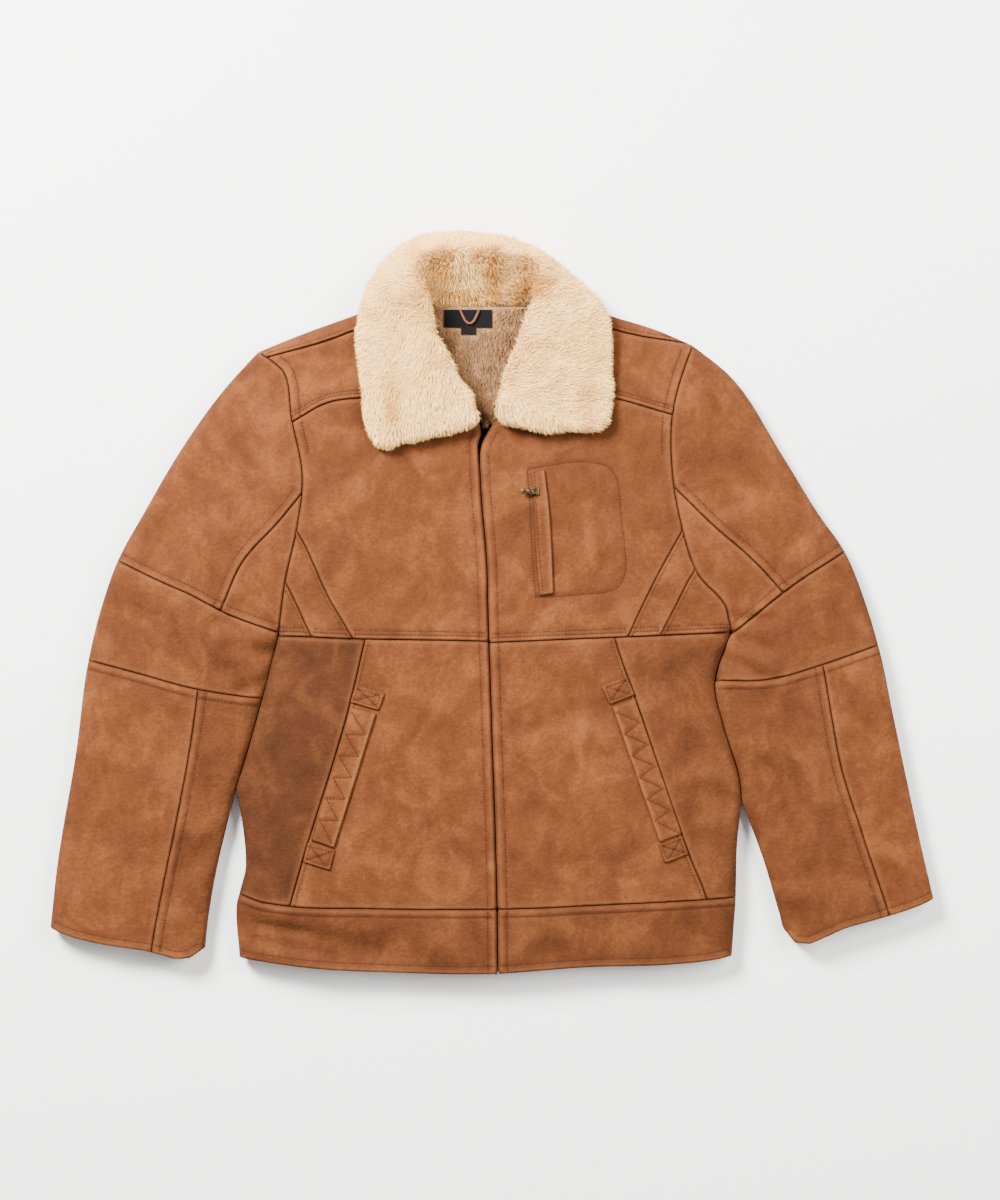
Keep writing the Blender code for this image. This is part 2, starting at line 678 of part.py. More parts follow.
def body_outline():
    """The plan of the whole body, from shoulder to hem."""
    return closed(
        shoulder["right"],
        armhole["right"],
        over_side["right"],
        body_side["right"],
        smooth(HEM),
        body_side["left"][::-1],
        over_side["left"][::-1],
        armhole["left"][::-1],
        shoulder["left"][::-1],
        smooth(BACK_NECK),
    )


def front_pieces(side, suede):
    """The panels of one front, cut from the body's plan seam by seam."""
    seams = FRONT_SEAMS[side]
    halves = cut(body_outline(), straight(seams["front edge"]))
    sign = -1 if side == "right" else 1
    front = max(halves, key=lambda outline: sign * np.mean([p[0] for p in outline]))
    front = higher_first(cut(front, smooth(seams["shoulder"])))[1]
    front = max(cut(front, smooth(seams["neckline"])), key=lambda outline: abs(area_of(outline)))
    yoke, rest = higher_first(cut(front, smooth(seams["yoke"])))
    chest, lower = higher_first(cut(rest, smooth(seams["chest"])))
    chest, slanted = nearer_first(cut(chest, smooth(seams["upper strip"])))
    slanted, underarm = nearer_first(cut(slanted, smooth(seams["lower strip"])))
    lower, band = higher_first(cut(lower, smooth(HEM_SEAM)))
    lower_front, lower_side = nearer_first(cut(lower, smooth(seams["pocket"])))
    names = ("yoke", "chest", "chest_strip", "underarm", "lower_front", "lower_side", "hem_band")
    outlines = (yoke, chest, slanted, underarm, lower_front, lower_side, band)
    for name, outline in zip(names, outlines):
        front_panel(f"front_{name}_{side}", outline, suede)


def sleeve_pieces(side, suede):
    """The panels of one sleeve, above and below."""
    seams = SLEEVE_SEAMS[side]
    sleeve = closed(
        sleeve_outer[side],
        seams["cuff"],
        sleeve_inner[side][::-1],
        over_side[side][::-1],
        armhole[side][::-1],
    )
    upper, rest = higher_first(cut(sleeve, smooth(seams["upper cross"])))
    elbow, forearm = higher_first(cut(rest, smooth(seams["lower cross"])))
    under, outer = nearer_first(cut(upper, smooth(seams["slant"])))
    forearm_under, forearm_outer = nearer_first(cut(forearm, smooth(seams["forearm"])))
    names = ("upper_outer", "upper_under", "elbow", "forearm_outer", "forearm_under")
    for name, outline in zip(names, (outer, under, elbow, forearm_outer, forearm_under)):
        front_panel(f"sleeve_{name}_{side}", outline, suede)
    for name, outline in zip(("upper", "elbow", "forearm"), (upper, elbow, forearm)):
        back_panel(f"sleeve_back_{name}_{side}", outline, suede)


def collar_section(row):
    """One ring of points round the collar's fold, from its outer edge over the ridge to its foot and back."""
    outer, roll, foot = np.array(row[0:2]), np.array(row[2:4]), np.array(row[4:6])
    drop, arch, ridge = row[6:9]
    inward = (roll - outer) / np.linalg.norm(roll - outer)
    below = [outer + share * (roll - outer) for share in (0, 0.5, 1)]
    bed = FLAT_TOP + float(swell(from_rims(below)).max()) + COLLAR_BED
    under = max(bed + (FLOOR_GAP - bed) * drop, 0.0)
    foot_top = under + FOOT_THICK + (FOOT_TOP - under - FOOT_THICK) * drop
    edge_top = under + FUR_EDGE

    def between(share, height):
        return (*(outer + share * (roll - outer)), height)

    def crest(share):
        return edge_top + (ridge - edge_top) * share

    def beneath(share, height):
        lifted = max(height - COLLAR_WALL, under)
        return between(share, under + arch * (lifted - under))

    return [
        (*(outer + 3.0 * inward), under),
        (*outer, under + 0.4 * FUR_EDGE),
        (*(outer + 2.5 * inward), under + 0.82 * FUR_EDGE),
        *(between(share, crest(climb)) for share, climb in OVER_FALL),
        (*(roll - 2.0 * inward), ridge - 1.5),
        (*(roll + 0.45 * (foot - roll)), (ridge - 6 + foot_top) / 2 + 2),
        (*foot, foot_top),
        (*foot, under),
        *(beneath(share, crest(climb)) for share, climb in UNDER_FALL),
    ]


def collar_piece(fur):
    """The fur collar: rings of points lofted from the right front tip round the neck to the left one."""
    rings = [collar_section(row) for row in smooth(COLLAR, 21.0)]
    mesh = bmesh.new()
    corners = [[mesh.verts.new([v * MM for v in point]) for point in ring] for ring in rings]
    count = len(corners[0])
    for ring, following in zip(corners[:-1], corners[1:]):
        for k in range(count):
            n = (k + 1) % count
            mesh.faces.new((ring[k], ring[n], following[n], following[k]))
    mesh.faces.new(corners[0][::-1])
    mesh.faces.new(corners[-1])
    bmesh.ops.triangulate(mesh, faces=mesh.faces)
    bmesh.ops.recalc_face_normals(mesh, faces=mesh.faces)
    place(bpy.data.objects.new("collar", bpy.data.meshes.new("collar")), mesh, fur)


def box(centre, size, bevel=0.0):
    """A box as a new mesh, its edges bevelled."""
    mesh = bmesh.new()
    bmesh.ops.create_cube(mesh, size=1.0)
    bmesh.ops.scale(mesh, vec=[v * MM for v in size], verts=mesh.verts)
    bmesh.ops.translate(mesh, vec=[v * MM for v in centre], verts=mesh.verts)
    if bevel:
        bmesh.ops.bevel(mesh, geom=mesh.edges[:], offset=bevel * MM, segments=2, affect="EDGES", profile=0.5)
    return mesh


def join(target, other):
    """One object united with another, which is removed."""
    union = target.modifiers.new("union", "BOOLEAN")
    union.operation = "UNION"
    union.object = other
    other.hide_render = True
    other.display_type = "WIRE"
    for collection in other.users_collection:
        collection.objects.unlink(other)
    helpers.objects.link(other)


def made(name, mesh, material):
    """A new object of the jacket from a mesh."""
    place(bpy.data.objects.new(name, bpy.data.meshes.new(name)), mesh, material)
    return bpy.data.objects[name]


def chest_zip(brass):
    """The chest pocket's slider with its two ears, and the pull tab that turns between them."""
    x, y, z = PULL_HINGE
    base_high = z - PULL_THICK / 2 - BELOW_PULL
    base = (x + NECK_AHEAD, y, base_high - CHEST_SLIDER_SIZE[2] / 2)
    slider = made("chest_zip_slider", box(base, CHEST_SLIDER_SIZE, CHEST_SLIDER_BEVEL), brass)
    for number, away in enumerate((-1, 1)):
        ear_place = (
            x,
            y + away * (NECK_WIDTH / 2 + SEAM_GAP + EAR_THICK / 2),
            base_high - EAR_SUNK + EAR_HIGH / 2,
        )
        join(slider, made(f"ear_{number}", box(ear_place, (EAR_LONG, EAR_THICK, EAR_HIGH)), brass))
    plate_length = PULL_LENGTH - PLATE_AHEAD
    plate_place = (x - PLATE_AHEAD - plate_length / 2, y, z)
    plate = box(plate_place, (plate_length, PULL_WIDTH, PULL_THICK), PULL_BEVEL)
    pull = made("chest_zip_pull", plate, brass)
    neck = box((x - NECK_AHEAD, y, z), (NECK_LENGTH, NECK_WIDTH, NECK_THICK))
    join(pull, made("pull_neck", neck, brass))
    set_origin(pull, PULL_HINGE)


def set_origin(obj, place_mm):
    """The object's origin moved to a place, its shape left where it is."""
    origin = Vector(place_mm) * MM
    for vertex in obj.data.vertices:
        vertex.co -= origin
    obj.location = origin


def hanger(tan):
    """The leather hanger loop, which lies on the label."""
    curve = bpy.data.curves.new("hanger_loop", "CURVE")
    curve.dimensions = "3D"
    curve.bevel_depth = LOOP_RADIUS * MM
    curve.bevel_resolution = 1
    curve.use_fill_caps = True
    spline = curve.splines.new("POLY")
    run = smooth(HANGER_LOOP, ALONG_LOOP)
    spline.points.add(len(run) - 1)
    for point, (x, y) in zip(spline.points, run):
        point.co = (x * MM, y * MM, LOOP_HEIGHT * MM, 1.0)
    curve.materials.append(tan)
    jacket.objects.link(bpy.data.objects.new("hanger_loop", curve))


for old in list(bpy.data.objects):
    bpy.data.objects.remove(old)
jacket = bpy.data.collections.new("shearling_jacket")
helpers = bpy.data.collections.new("joined_shapes")
bpy.context.scene.collection.children.link(jacket)
bpy.context.scene.collection.children.link(helpers)

FRONT_SEAMS = {
    "right": {
        "front edge": [(x - half_gap, y) for x, y, half_gap in CENTRE_FRONT],
        "shoulder": SHOULDER_SEAM_RIGHT,
        "neckline": NECKLINE_RIGHT,
        "yoke": YOKE_SEAM_RIGHT,
        "chest": CHEST_SEAM_RIGHT,
        "upper strip": CHEST_STRIP_UPPER_RIGHT,
        "lower strip": CHEST_STRIP_LOWER_RIGHT,
        "pocket": POCKET_SEAM_RIGHT,
    },
    "left": {
        "front edge": [(x + half_gap, y) for x, y, half_gap in CENTRE_FRONT],
        "shoulder": SHOULDER_SEAM_LEFT,
        "neckline": NECKLINE_LEFT,
        "yoke": YOKE_SEAM_LEFT,
        "chest": CHEST_SEAM_LEFT,
        "upper strip": CHEST_STRIP_UPPER_LEFT,
        "lower strip": CHEST_STRIP_LOWER_LEFT,
        "pocket": POCKET_SEAM_LEFT,
    },
}
SLEEVE_SEAMS = {
    "right": {
        "cuff": smooth(CUFF_RIGHT),
        "upper cross": UPPER_CROSS_RIGHT,
        "lower cross": LOWER_CROSS_RIGHT,
        "slant": UPPER_SLANT_RIGHT,
        "forearm": FOREARM_SEAM_RIGHT,
    },
    "left": {
        "cuff": smooth(CUFF_LEFT),
        "upper cross": UPPER_CROSS_LEFT,
        "lower cross": LOWER_CROSS_LEFT,
        "slant": UPPER_SLANT_LEFT,
        "forearm": FOREARM_SEAM_LEFT,
    },
}


def main():
    suede = finish("suede", SUEDE, 0.9)
    dark_suede = finish("worn_suede", SUEDE_DARK, 0.9)
    fur = finish("cream_fur", FUR, 1.0)
    brass = finish("dark_brass", BRASS, 0.4, 1.0)
    tape = finish("zip_tape", TAPE_BROWN, 0.9)
    black = finish("woven_label", BLACK, 0.8)
    tan = finish("tan_leather", TAN, 0.6)

    back_pieces(suede)
    for side in ("right", "left"):
        front_pieces(side, suede)
        sleeve_pieces(side, suede)
    collar_piece(fur)
    patches = (
        ("pocket_welt_right", POCKET_WELT_RIGHT, WELT_THICK),
        ("pocket_welt_left", POCKET_WELT_LEFT, WELT_THICK),
        ("pocket_tab_upper_right", UPPER_TAB_RIGHT, TAB_THICK),
        ("pocket_tab_upper_left", UPPER_TAB_LEFT, TAB_THICK),
        ("pocket_tab_lower_right", LOWER_TAB_RIGHT, TAB_THICK),
        ("pocket_tab_lower_left", LOWER_TAB_LEFT, TAB_THICK),
        ("chest_pocket_welt", CHEST_WELT, WELT_THICK),
    )
    for name, rows, thickness in patches:
        patch(name, rows, SEAT_GAP, thickness, dark_suede)
    covered = [(x, y) for x, y, _ in CENTRE_FRONT if ZIP_END[1] < y < ZIP_TOP[1] - FRONT_SLIDER_SIZE[1] / 2]
    zip_line = [ZIP_TOP, *covered, ZIP_END]
    strip("front_zip_tape", zip_line, TAPE_HALF, TAPE_LOW, TAPE_HIGH, tape)
    strip("front_zip_chain", zip_line, CHAIN_HALF, CHAIN_LOW, CHAIN_HIGH, brass)
    made("front_zip_slider", box(FRONT_SLIDER, FRONT_SLIDER_SIZE, SLIDER_BEVEL), brass)
    chest_zip(brass)
    for name, rows in (("neck_label", NECK_LABEL), ("size_tag", SIZE_TAG)):
        panel(name, [(closed(rows), level(LABEL_HIGH))], level(LABEL_LOW), black, spacing=0)
    hanger(tan)


main()
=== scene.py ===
"""The look of a men's shearling jacket, zipped up and laid flat on its back.

Each cut piece of sheepskin is made again as a thin shell on its solid's form: suede outside, pile inside,
rolled into its seams, with its topstitching sewn in. The collar and the inside of the neck are covered
with tufts of wool. Plan sizes are in millimetres, and the meshes are in metres.
"""

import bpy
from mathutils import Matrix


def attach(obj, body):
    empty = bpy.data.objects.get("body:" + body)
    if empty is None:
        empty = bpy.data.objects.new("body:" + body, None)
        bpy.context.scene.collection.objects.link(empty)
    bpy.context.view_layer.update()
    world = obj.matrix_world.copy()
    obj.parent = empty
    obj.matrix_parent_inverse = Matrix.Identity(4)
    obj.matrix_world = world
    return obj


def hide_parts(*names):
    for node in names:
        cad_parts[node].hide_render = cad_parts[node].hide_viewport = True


bl_info = {
    "name": "Shearling Jacket",
    "version": (1, 0, 0),
    "blender": (4, 5, 0),
    "location": "3D Viewport > Sidebar > Jacket",
    "description": "Makes the sheepskin, wool, stitching and zips of a shearling jacket laid flat",
    "category": "Add Mesh",
}

import math

import bmesh
import bpy
import numpy as np
from bpy.props import FloatProperty, FloatVectorProperty, PointerProperty
from mathutils import Vector
from mathutils.geometry import delaunay_2d_cdt

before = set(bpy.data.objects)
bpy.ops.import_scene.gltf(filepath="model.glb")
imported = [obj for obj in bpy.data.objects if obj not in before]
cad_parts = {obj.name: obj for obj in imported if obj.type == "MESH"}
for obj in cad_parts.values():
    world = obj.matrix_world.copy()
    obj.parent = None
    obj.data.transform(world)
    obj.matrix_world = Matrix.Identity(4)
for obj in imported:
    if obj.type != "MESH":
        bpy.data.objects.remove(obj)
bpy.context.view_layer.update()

MM = 0.001
BODY = "jacket"

# The layers of the jacket as it lies, in mm above the surface
MIDDLE = 12.25  # where front and back meet at the sides
RISE = 10.25  # from the edge of the front up to its flat top
RIM_LEAST = 2.0
RIM_ROUND = 16.0
CROWN, CROWN_REACH = 4.5, 90.0
SEAM_GAP, PILE_GAP = 0.3, 1.5
RIM_BELOW = 17.0  # an edge of the front lower than this is a side edge

# Waves of the front's skin. Columns: height, size, seed
WAVES = ((1.4, 62.0, 3), (0.9, 24.0, 4), (0.25, 8.0, 5))

# How the outline of a CAD piece is read
MERGE = 0.00002  # points nearer than this are one, in m
LEVEL_FACE = 0.04  # a face whose normal rises less than this is part of a wall
CORNER = math.radians(28)  # a sharper turn of an outline stays a corner
BATCH = 1500  # points measured at a time, which saves memory

# Spacing of the points that a cut piece is made of, in mm
ALONG_EDGE = 3.0
EDGE_ROWS = (0.5, 1.4, 2.8, 5.0, 8.0)
OVER_SKIN = 4.6
OVER_PILE = 9.0

# Largest folds of the front. Columns: x and y of one end and of the other, half width, depth
FOLDS = (
    (-262, -352, -125, -378, 15, 4.5),
    (-99, -64, -24, -161, 18, 2.6),
    (-256, -288, -234, -322, 10, 2.6),
    (-240, -70, -222, -160, 16, 2.0),
    (-290, -26, -240, -70, 12, 3.0),
    (-299, -258, -326, -290, 11, 2.6),
    (-345, -130, -352, -230, 16, 1.8),
    (295, -107, 322, -193, 13, 3.2),
    (322, -193, 350, -300, 13, 3.2),
    (280, -26, 262, -64, 11, 2.8),
    (-190, 170, -160, 90, 20, 2.0),
    (120, 190, 165, 130, 20, 1.8),
    (60, -90, 30, -230, 22, 1.8),
    (-110, -200, -80, -310, 20, 1.8),
    (90, -340, 220, -362, 15, 2.2),
)

# Finer creases of the skin. Columns: as above
CREASES = (
    (-256, -366, -170, -384, 6, 2.6),
    (-250, -350, -195, -360, 5, 2.0),
    (-262, -388, -215, -392, 4, 1.0),
    (-230, -58, -284, -50, 7, 2.4),
    (-226, -82, -272, -98, 7, 2.2),
    (-236, -30, -276, -4, 7, 2.0),
    (248, -38, 300, -52, 7, 2.8),
    (250, -62, 306, -86, 7, 2.8),
    (260, -18, 306, -20, 6, 2.0),
    (262, -100, 300, -240, 8, 1.6),
    (-330, 62, -296, 18, 8, 1.2),
    (-372, 30, -350, -30, 9, 1.2),
    (330, 70, 300, 20, 8, 1.2),
    (-88, 150, -40, 100, 9, 0.9),
    (-120, 60, -60, -20, 10, 0.8),
    (-206, -230, -170, -300, 8, 1.3),
    (-228, -150, -214, -230, 7, 1.3),
    (214, -140, 222, -230, 8, 1.2),
    (30, 150, 30, 60, 8, 0.8),
    (-30, -80, -44, -180, 9, 0.9),
    (26, -100, 44, -190, 9, 0.9),
    (-180, 230, -160, 180, 10, 0.9),
    (180, 220, 165, 170, 10, 0.9),
    (-330, -260, -352, -330, 8, 1.2),
    (390, -120, 402, -220, 9, 1.0),
)

# Topstitching along edges. Columns: cut piece, what the edge meets, mm from the edge to each row, lowest y
SEAM_ROWS = (
    ("back_over", "sleeve_upper", (9.5,), -999),
    ("back_over", "front_yoke", (4.0,), -999),
    ("front_yoke", "sleeve_upper", (9.5,), -999),
    ("front_yoke", "front_chest", (5.0, 8.5), -999),
    ("front_chest", "sleeve_upper", (9.5,), 157),
    ("front_chest", "front_lower", (5.0, 9.0), -999),
    ("front_chest_strip", "front_lower", (5.0, 9.0), -999),
    ("front_underarm", "front_lower", (5.0, 9.0), -999),
    ("front_chest_strip", "front_chest", (3.5,), -999),
    ("front_underarm", "front_chest_strip", (3.5,), -999),
    ("front_lower_front", "front_lower_side", (4.0,), -999),
    ("front_hem_band", "front_lower", (8.0,), -999),
    ("front_hem_band", "bottom", (8.5,), -999),
    ("front_yoke", "middle", (9.0,), -999),
    ("front_chest", "middle", (9.0,), -999),
    ("front_lower_front", "middle", (9.0,), -999),
    ("front_hem_band", "middle", (9.0,), -999),
    ("sleeve_upper_outer", "sleeve_elbow", (8.5,), -999),
    ("sleeve_upper_under", "sleeve_elbow", (8.5,), -999),
    ("sleeve_upper_outer", "sleeve_upper_under", (9.0,), -999),
    ("sleeve_forearm_outer", "sleeve_elbow", (8.5,), -999),
    ("sleeve_forearm_under", "sleeve_elbow", (8.5,), -999),
    ("sleeve_forearm_under", "sleeve_forearm_outer", (9.0,), -999),
    ("sleeve_forearm_outer", "bottom", (8.5,), -999),
    ("sleeve_forearm_under", "bottom", (8.5,), -999),
)
SEAM_REACH = 0.8  # outlines nearer than this meet
SEAM_ALLOWANCE = 6.0  # an estimate of what is cut beyond the seam, all round

# How far the front edges are widened: below the height where the fronts nearly touch, and above it
CLOSED_BELOW = 150.0
OVERHANG_CLOSED, OVERHANG_PARTED = 0.95, 0.5

# Relief beside seams and stitching, and their colour: above 0 rubbed paler with a painted highlight, below 0
# painted shade
STRIP_RISE = 1.5
# How deep stitches dent the skin, how wide, and how much painted shade darkens the dents
STITCH_DENT, STITCH_DENT_HALF, STITCH_SHADE = 0.9, 1.3, 0.85
PIPING_RISE, PIPING_HALF = 0.9, 1.7
# A paler strip on the raised edge beside a seam, its distance and half width: rubbed wear with a painted
# highlight
RUB_AND_HIGHLIGHT, RUB_AND_HIGHLIGHT_AWAY, RUB_AND_HIGHLIGHT_HALF = 0.55, 3.0, 1.8
# Painted shade in the seam groove, and its half width
SEAM_SHADE, SEAM_SHADE_HALF = 0.7, 1.1
EDGE_ROLL = {"rim": 0.0, "over": 1.5, "under": 2.6, "open": 1.7, "patch": 1.1}

# The mouth of the chest pocket, a groove beside its welt. Columns: x, y
CHEST_OPENING = ((41.3, 139), (44.2, 106.2), (46.1, 59.6), (50.4, 5))

# Outline of the chest pocket, stitched through the chest. Columns: x, y
CHEST_POCKET = (
    (38.9, 142),
    (58.6, 145.6),
    (108.8, 149.1),
    (124.8, 144.7),
    (134.7, 131.2),
    (137.4, 113.3),
    (140.1, 82.8),
    (142.8, 59.6),
    (142.8, 29.2),
    (137.4, 16.6),
    (128.4, 11.2),
    (101.6, 7.7),
    (72.9, 5),
    (49.7, 4.1),
)

# How light the skin of a piece is beside the rest: the leather's own tone, and on the side panels partly
# painted shade where the jacket's sides fall away. Columns: start of the piece's name, share
PIECE_TONES_AND_SHADE = (
    ("front_lower_side_right", 0.56),
    ("front_lower_side_left", 0.8),
    ("front_hem_band", 0.82),
    ("front_yoke", 1.08),
    ("sleeve_elbow", 0.92),
    ("sleeve_forearm_under", 0.9),
    ("sleeve_forearm_outer_left", 1.08),
)

# Stitching and piping of what is sewn on: lines by corner. Columns: piece, x and y of each corner
PATCH_LINES = (
    ("pocket_welt_right", (-149.6, -118), (-129.5, -123.6), (-174, -262.6), (-191.5, -256)),
    ("pocket_welt_left", (133.3, -117.5), (152, -109.5), (200.8, -252), (182.6, -257.5)),
    ("chest_pocket_welt", (45.6, 137.6), (50.2, 60), (54.8, 9)),
)
WELT_PIPING = {
    "pocket_welt_right": ((-126.6, -121.4), (-171.4, -265.4)),
    "pocket_welt_left": ((131.6, -115), (182, -259.2)),
    "chest_pocket_welt": ((55.4, 141), (60.6, 95), (64.8, 9)),
}
ZIGZAG_PERIOD = 24.0
PATCH_GAP, PATCH_THICK = 0.6, 1.9
TAB_INSET = 3.4

# The front zip is parted above this y
PARTED = 170.0

# Teeth of the front zip. Columns: name, whether parted, mm aside, mm up, height of a tooth in m
TEETH = (
    ("front_zip_teeth", False, 0.75, 15.6, 0.0024),
    ("front_zip_teeth_parted", True, 1.7, 16.9, 0.0066),
)

# The open neck, where the pile of the back shows. Columns: x, y
NECK_OPENING = (
    (-78, 196),
    (16, 196),
    (26, 228),
    (44, 275),
    (62, 296),
    (66, 318),
    (-88, 318),
    (-84, 296),
    (-80, 250),
)

CAMERA_HEIGHT = 3.08
CAMERA_PLACE = (0.00864, 0.00108)
CAMERA_LENS = 85.0


def shade(code):
    """An sRGB hex colour as linear red, green and blue."""
    channels = [int(code[k : k + 2], 16) / 255 for k in (0, 2, 4)]
    return tuple(c / 12.92 if c <= 0.04045 else ((c + 0.055) / 1.055) ** 2.4 for c in channels)


def add(tree, kind, settings=None, inputs=None):
    """A new node of a tree, with its settings, and its inputs set to values or linked to sockets."""
    node = tree.nodes.new(kind)
    for name, value in (settings or {}).items():
        setattr(node, name, value)
    for key, value in (inputs or {}).items():
        if isinstance(value, bpy.types.NodeSocket):
            tree.links.new(value, node.inputs[key])
        else:
            node.inputs[key].default_value = value
    return node


# Plan geometry
def distance_to(points, starts, ends):
    """How far each plan point is from the nearest of some segments, and which segment that is."""
    away = np.empty(len(points))
    which = np.empty(len(points), int)
    along = ends - starts
    length = np.maximum((along**2).sum(axis=1), 1e-12)
    for first in range(0, len(points), BATCH):
        part = slice(first, first + BATCH)
        reach = points[part, None, :] - starts
        share = np.clip((reach * along).sum(axis=-1) / length, 0, 1)
        gap = ((reach - share[..., None] * along) ** 2).sum(axis=-1)
        which[part] = gap.argmin(axis=1)
        away[part] = np.sqrt(gap.min(axis=1))
    return away, which


def from_line(points, line):
    """How far each plan point is from a run of straight segments."""
    line = np.asarray(line, float)
    return distance_to(points, line[:-1, :2], line[1:, :2])[0]


def is_inside(points, ring):
    """Which plan points lie inside an outline."""
    a, b = ring, np.roll(ring, -1, axis=0)
    x, y = points[:, 0:1], points[:, 1:2]
    spans = (a[:, 1] > y) != (b[:, 1] > y)
    rise = np.where(b[:, 1] == a[:, 1], 1.0, b[:, 1] - a[:, 1])
    meets = a[:, 0] + (y - a[:, 1]) * (b[:, 0] - a[:, 0]) / rise
    return (spans & (x < meets)).sum(axis=1) % 2 == 1


def curve(rows, step):
    """A smooth run through the rows of a table, with a point about every step mm of its first two columns."""
    knots = np.array(rows, float)
    chords = np.linalg.norm(np.diff(knots[:, :2], axis=0), axis=1)
    slopes = np.gradient(knots, np.concatenate([[0.0], np.cumsum(chords)]), axis=0)
    run = []
    for k, chord in enumerate(chords):
        count = max(1, round(chord / step))
        t = (np.arange(count) / count)[:, None]
        start = (1 + 2 * t) * (1 - t) ** 2 * knots[k] + t * (1 - t) ** 2 * chord * slopes[k]
        run.append(start + t * t * (3 - 2 * t) * knots[k + 1] - t * t * (1 - t) * chord * slopes[k + 1])
    return np.vstack([*run, knots[-1:]])


def smoothed(ring, step):
    """A closed run with a point about every step mm, its corners kept."""
    ahead = np.roll(ring, -1, axis=0)[:, :2] - ring[:, :2]
    heading = np.arctan2(ahead[:, 1], ahead[:, 0])
    turn = np.abs((heading - np.roll(heading, 1) + np.pi) % (2 * np.pi) - np.pi)
    corners = np.flatnonzero(turn > CORNER)
    ring = np.roll(ring, -corners[0], axis=0)
    ring = np.vstack([ring, ring[:1]])
    ends = [*(corners - corners[0]), len(ring) - 1]
    return np.vstack([curve(ring[a : b + 1], step)[:-1] for a, b in zip(ends[:-1], ends[1:])])


def outward(ring):
    """The outward direction at each point of an anticlockwise ring."""
    ahead = np.roll(ring, -1, axis=0)[:, :2] - np.roll(ring, 1, axis=0)[:, :2]
    ahead /= np.linalg.norm(ahead, axis=1)[:, None]
    return np.stack([ahead[:, 1], -ahead[:, 0]], axis=1)


def soft_noise(points, size, seed):
    """Smooth noise from -1 to 1 over plan points, with bumps of about a given size."""
    table = np.random.default_rng(seed).uniform(-1, 1, (64, 64))
    scaled = points[:, :2] / size
    cell = np.floor(scaled).astype(int)
    t = scaled - cell
    t = t * t * (3 - 2 * t)
    i, j = cell[:, 0], cell[:, 1]
    low = table[i % 64, j % 64] * (1 - t[:, 0]) + table[(i + 1) % 64, j % 64] * t[:, 0]
    high = table[i % 64, (j + 1) % 64] * (1 - t[:, 0]) + table[(i + 1) % 64, (j + 1) % 64] * t[:, 0]
    return low * (1 - t[:, 1]) + high * t[:, 1]


def loops_of(node, facing):
    """The plan outlines of the upper or lower skin of a CAD piece: anticlockwise runs of x, y and z in mm."""
    mesh = bmesh.new()
    mesh.from_mesh(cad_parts[node].data)
    bmesh.ops.remove_doubles(mesh, verts=mesh.verts, dist=MERGE)
    mesh.normal_update()
    following = {}
    for face in mesh.faces:
        if face.normal.z * facing < LEVEL_FACE:
            continue
        for loop in face.loops:
            beyond = [other for other in loop.edge.link_faces if other != face]
            if not beyond or beyond[0].normal.z * facing < LEVEL_FACE:
                following[loop.vert.index] = loop.link_loop_next.vert.index
    places = {vert.index: tuple(vert.co / MM) for vert in mesh.verts}
    mesh.free()
    loops = []
    while following:
        start, at = following.popitem()
        run = [start]
        while at != start:
            run.append(at)
            at = following.pop(at)
        loops.append(np.array([places[k] for k in run[::facing]]))
    return loops


# The jacket's own surfaces
class Cut:
    """One cut piece of sheepskin: its outline, and what each stretch of it meets."""

    def __init__(self, name, node, loop, lies):
        self.name, self.node, self.lies = name, node, lies
        self.side = name.rsplit("_", 1)[1] if name.endswith(("_right", "_left")) else ""
        self.base = name[: -len(self.side) - 1] if self.side else name
        self.ring = smoothed(loop, ALONG_EDGE)
        self.plan = self.ring[:, :2]
        self.ends = np.roll(self.plan, -1, axis=0)
        self.out = outward(self.ring)
        self.meets = np.array([""] * len(self.ring), dtype=object)
        self.roll = np.zeros(len(self.ring))
        self.rows = []
        self.piping = []
        self.lift = 0.0


def cut_pieces():
    """Every cut piece of the jacket, read from the CAD solids."""
    cuts = []
    for node in sorted(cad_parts):
        if node in ("back_left", "back_right"):
            over = max(loops_of(node, 1), key=lambda loop: loop[:, 2].mean())
            cuts.append(Cut(node.replace("back", "back_over"), node, over, "over"))
        if node.startswith(("back_", "sleeve_back_")):
            cuts.append(Cut(node, node, loops_of(node, -1)[0], "below"))
        elif node.startswith("sleeve_") or (node.startswith("front_") and "zip" not in node):
            cuts.append(Cut(node, node, loops_of(node, 1)[0], "over"))
    return cuts


CUTS = cut_pieces()


def side_edges():
    """The segments of the jacket's side edges, where front and back meet."""
    starts, ends = [], []
    for cut in CUTS:
        if cut.lies == "over":
            low = cut.ring[:, 2] < RIM_BELOW
            chosen = low & np.roll(low, -1)
            starts.append(cut.plan[chosen])
            ends.append(cut.ends[chosen])
    return np.vstack(starts), np.vstack(ends)


RIMS = side_edges()


def from_rims(points):
    return distance_to(points, *RIMS)[0]


def rounding(edge):
    """0 at a side edge, 1 where the wall has reached its full height."""
    return np.sqrt(1 - (1 - np.minimum(edge / RIM_ROUND, 1)) ** 2)


def fold_depth(points, folds):
    """How far folds press the front in, with a low ridge beside each."""
    depth = np.zeros(len(points))
    for x0, y0, x1, y1, half_width, deepest in folds:
        away = from_line(points, ((x0, y0), (x1, y1))) / half_width
        depth += deepest * (np.exp(-(away**2)) - 0.3 * np.exp(-((away - 1.8) ** 2)))
    return depth


def skin(points, edge=None):
    """The height of the front's outer skin, seams aside."""
    edge = from_rims(points) if edge is None else edge
    share = np.minimum(edge / CROWN_REACH, 1)
    rounded = rounding(edge)
    waves = sum(height * soft_noise(points, size, seed) for height, size, seed in WAVES)
    swell = CROWN * share * share * (3 - 2 * share)
    pressed = fold_depth(points, FOLDS) + fold_depth(points, CREASES)
    return MIDDLE + RIM_LEAST + RISE * rounded + swell + (waves - pressed) * rounded


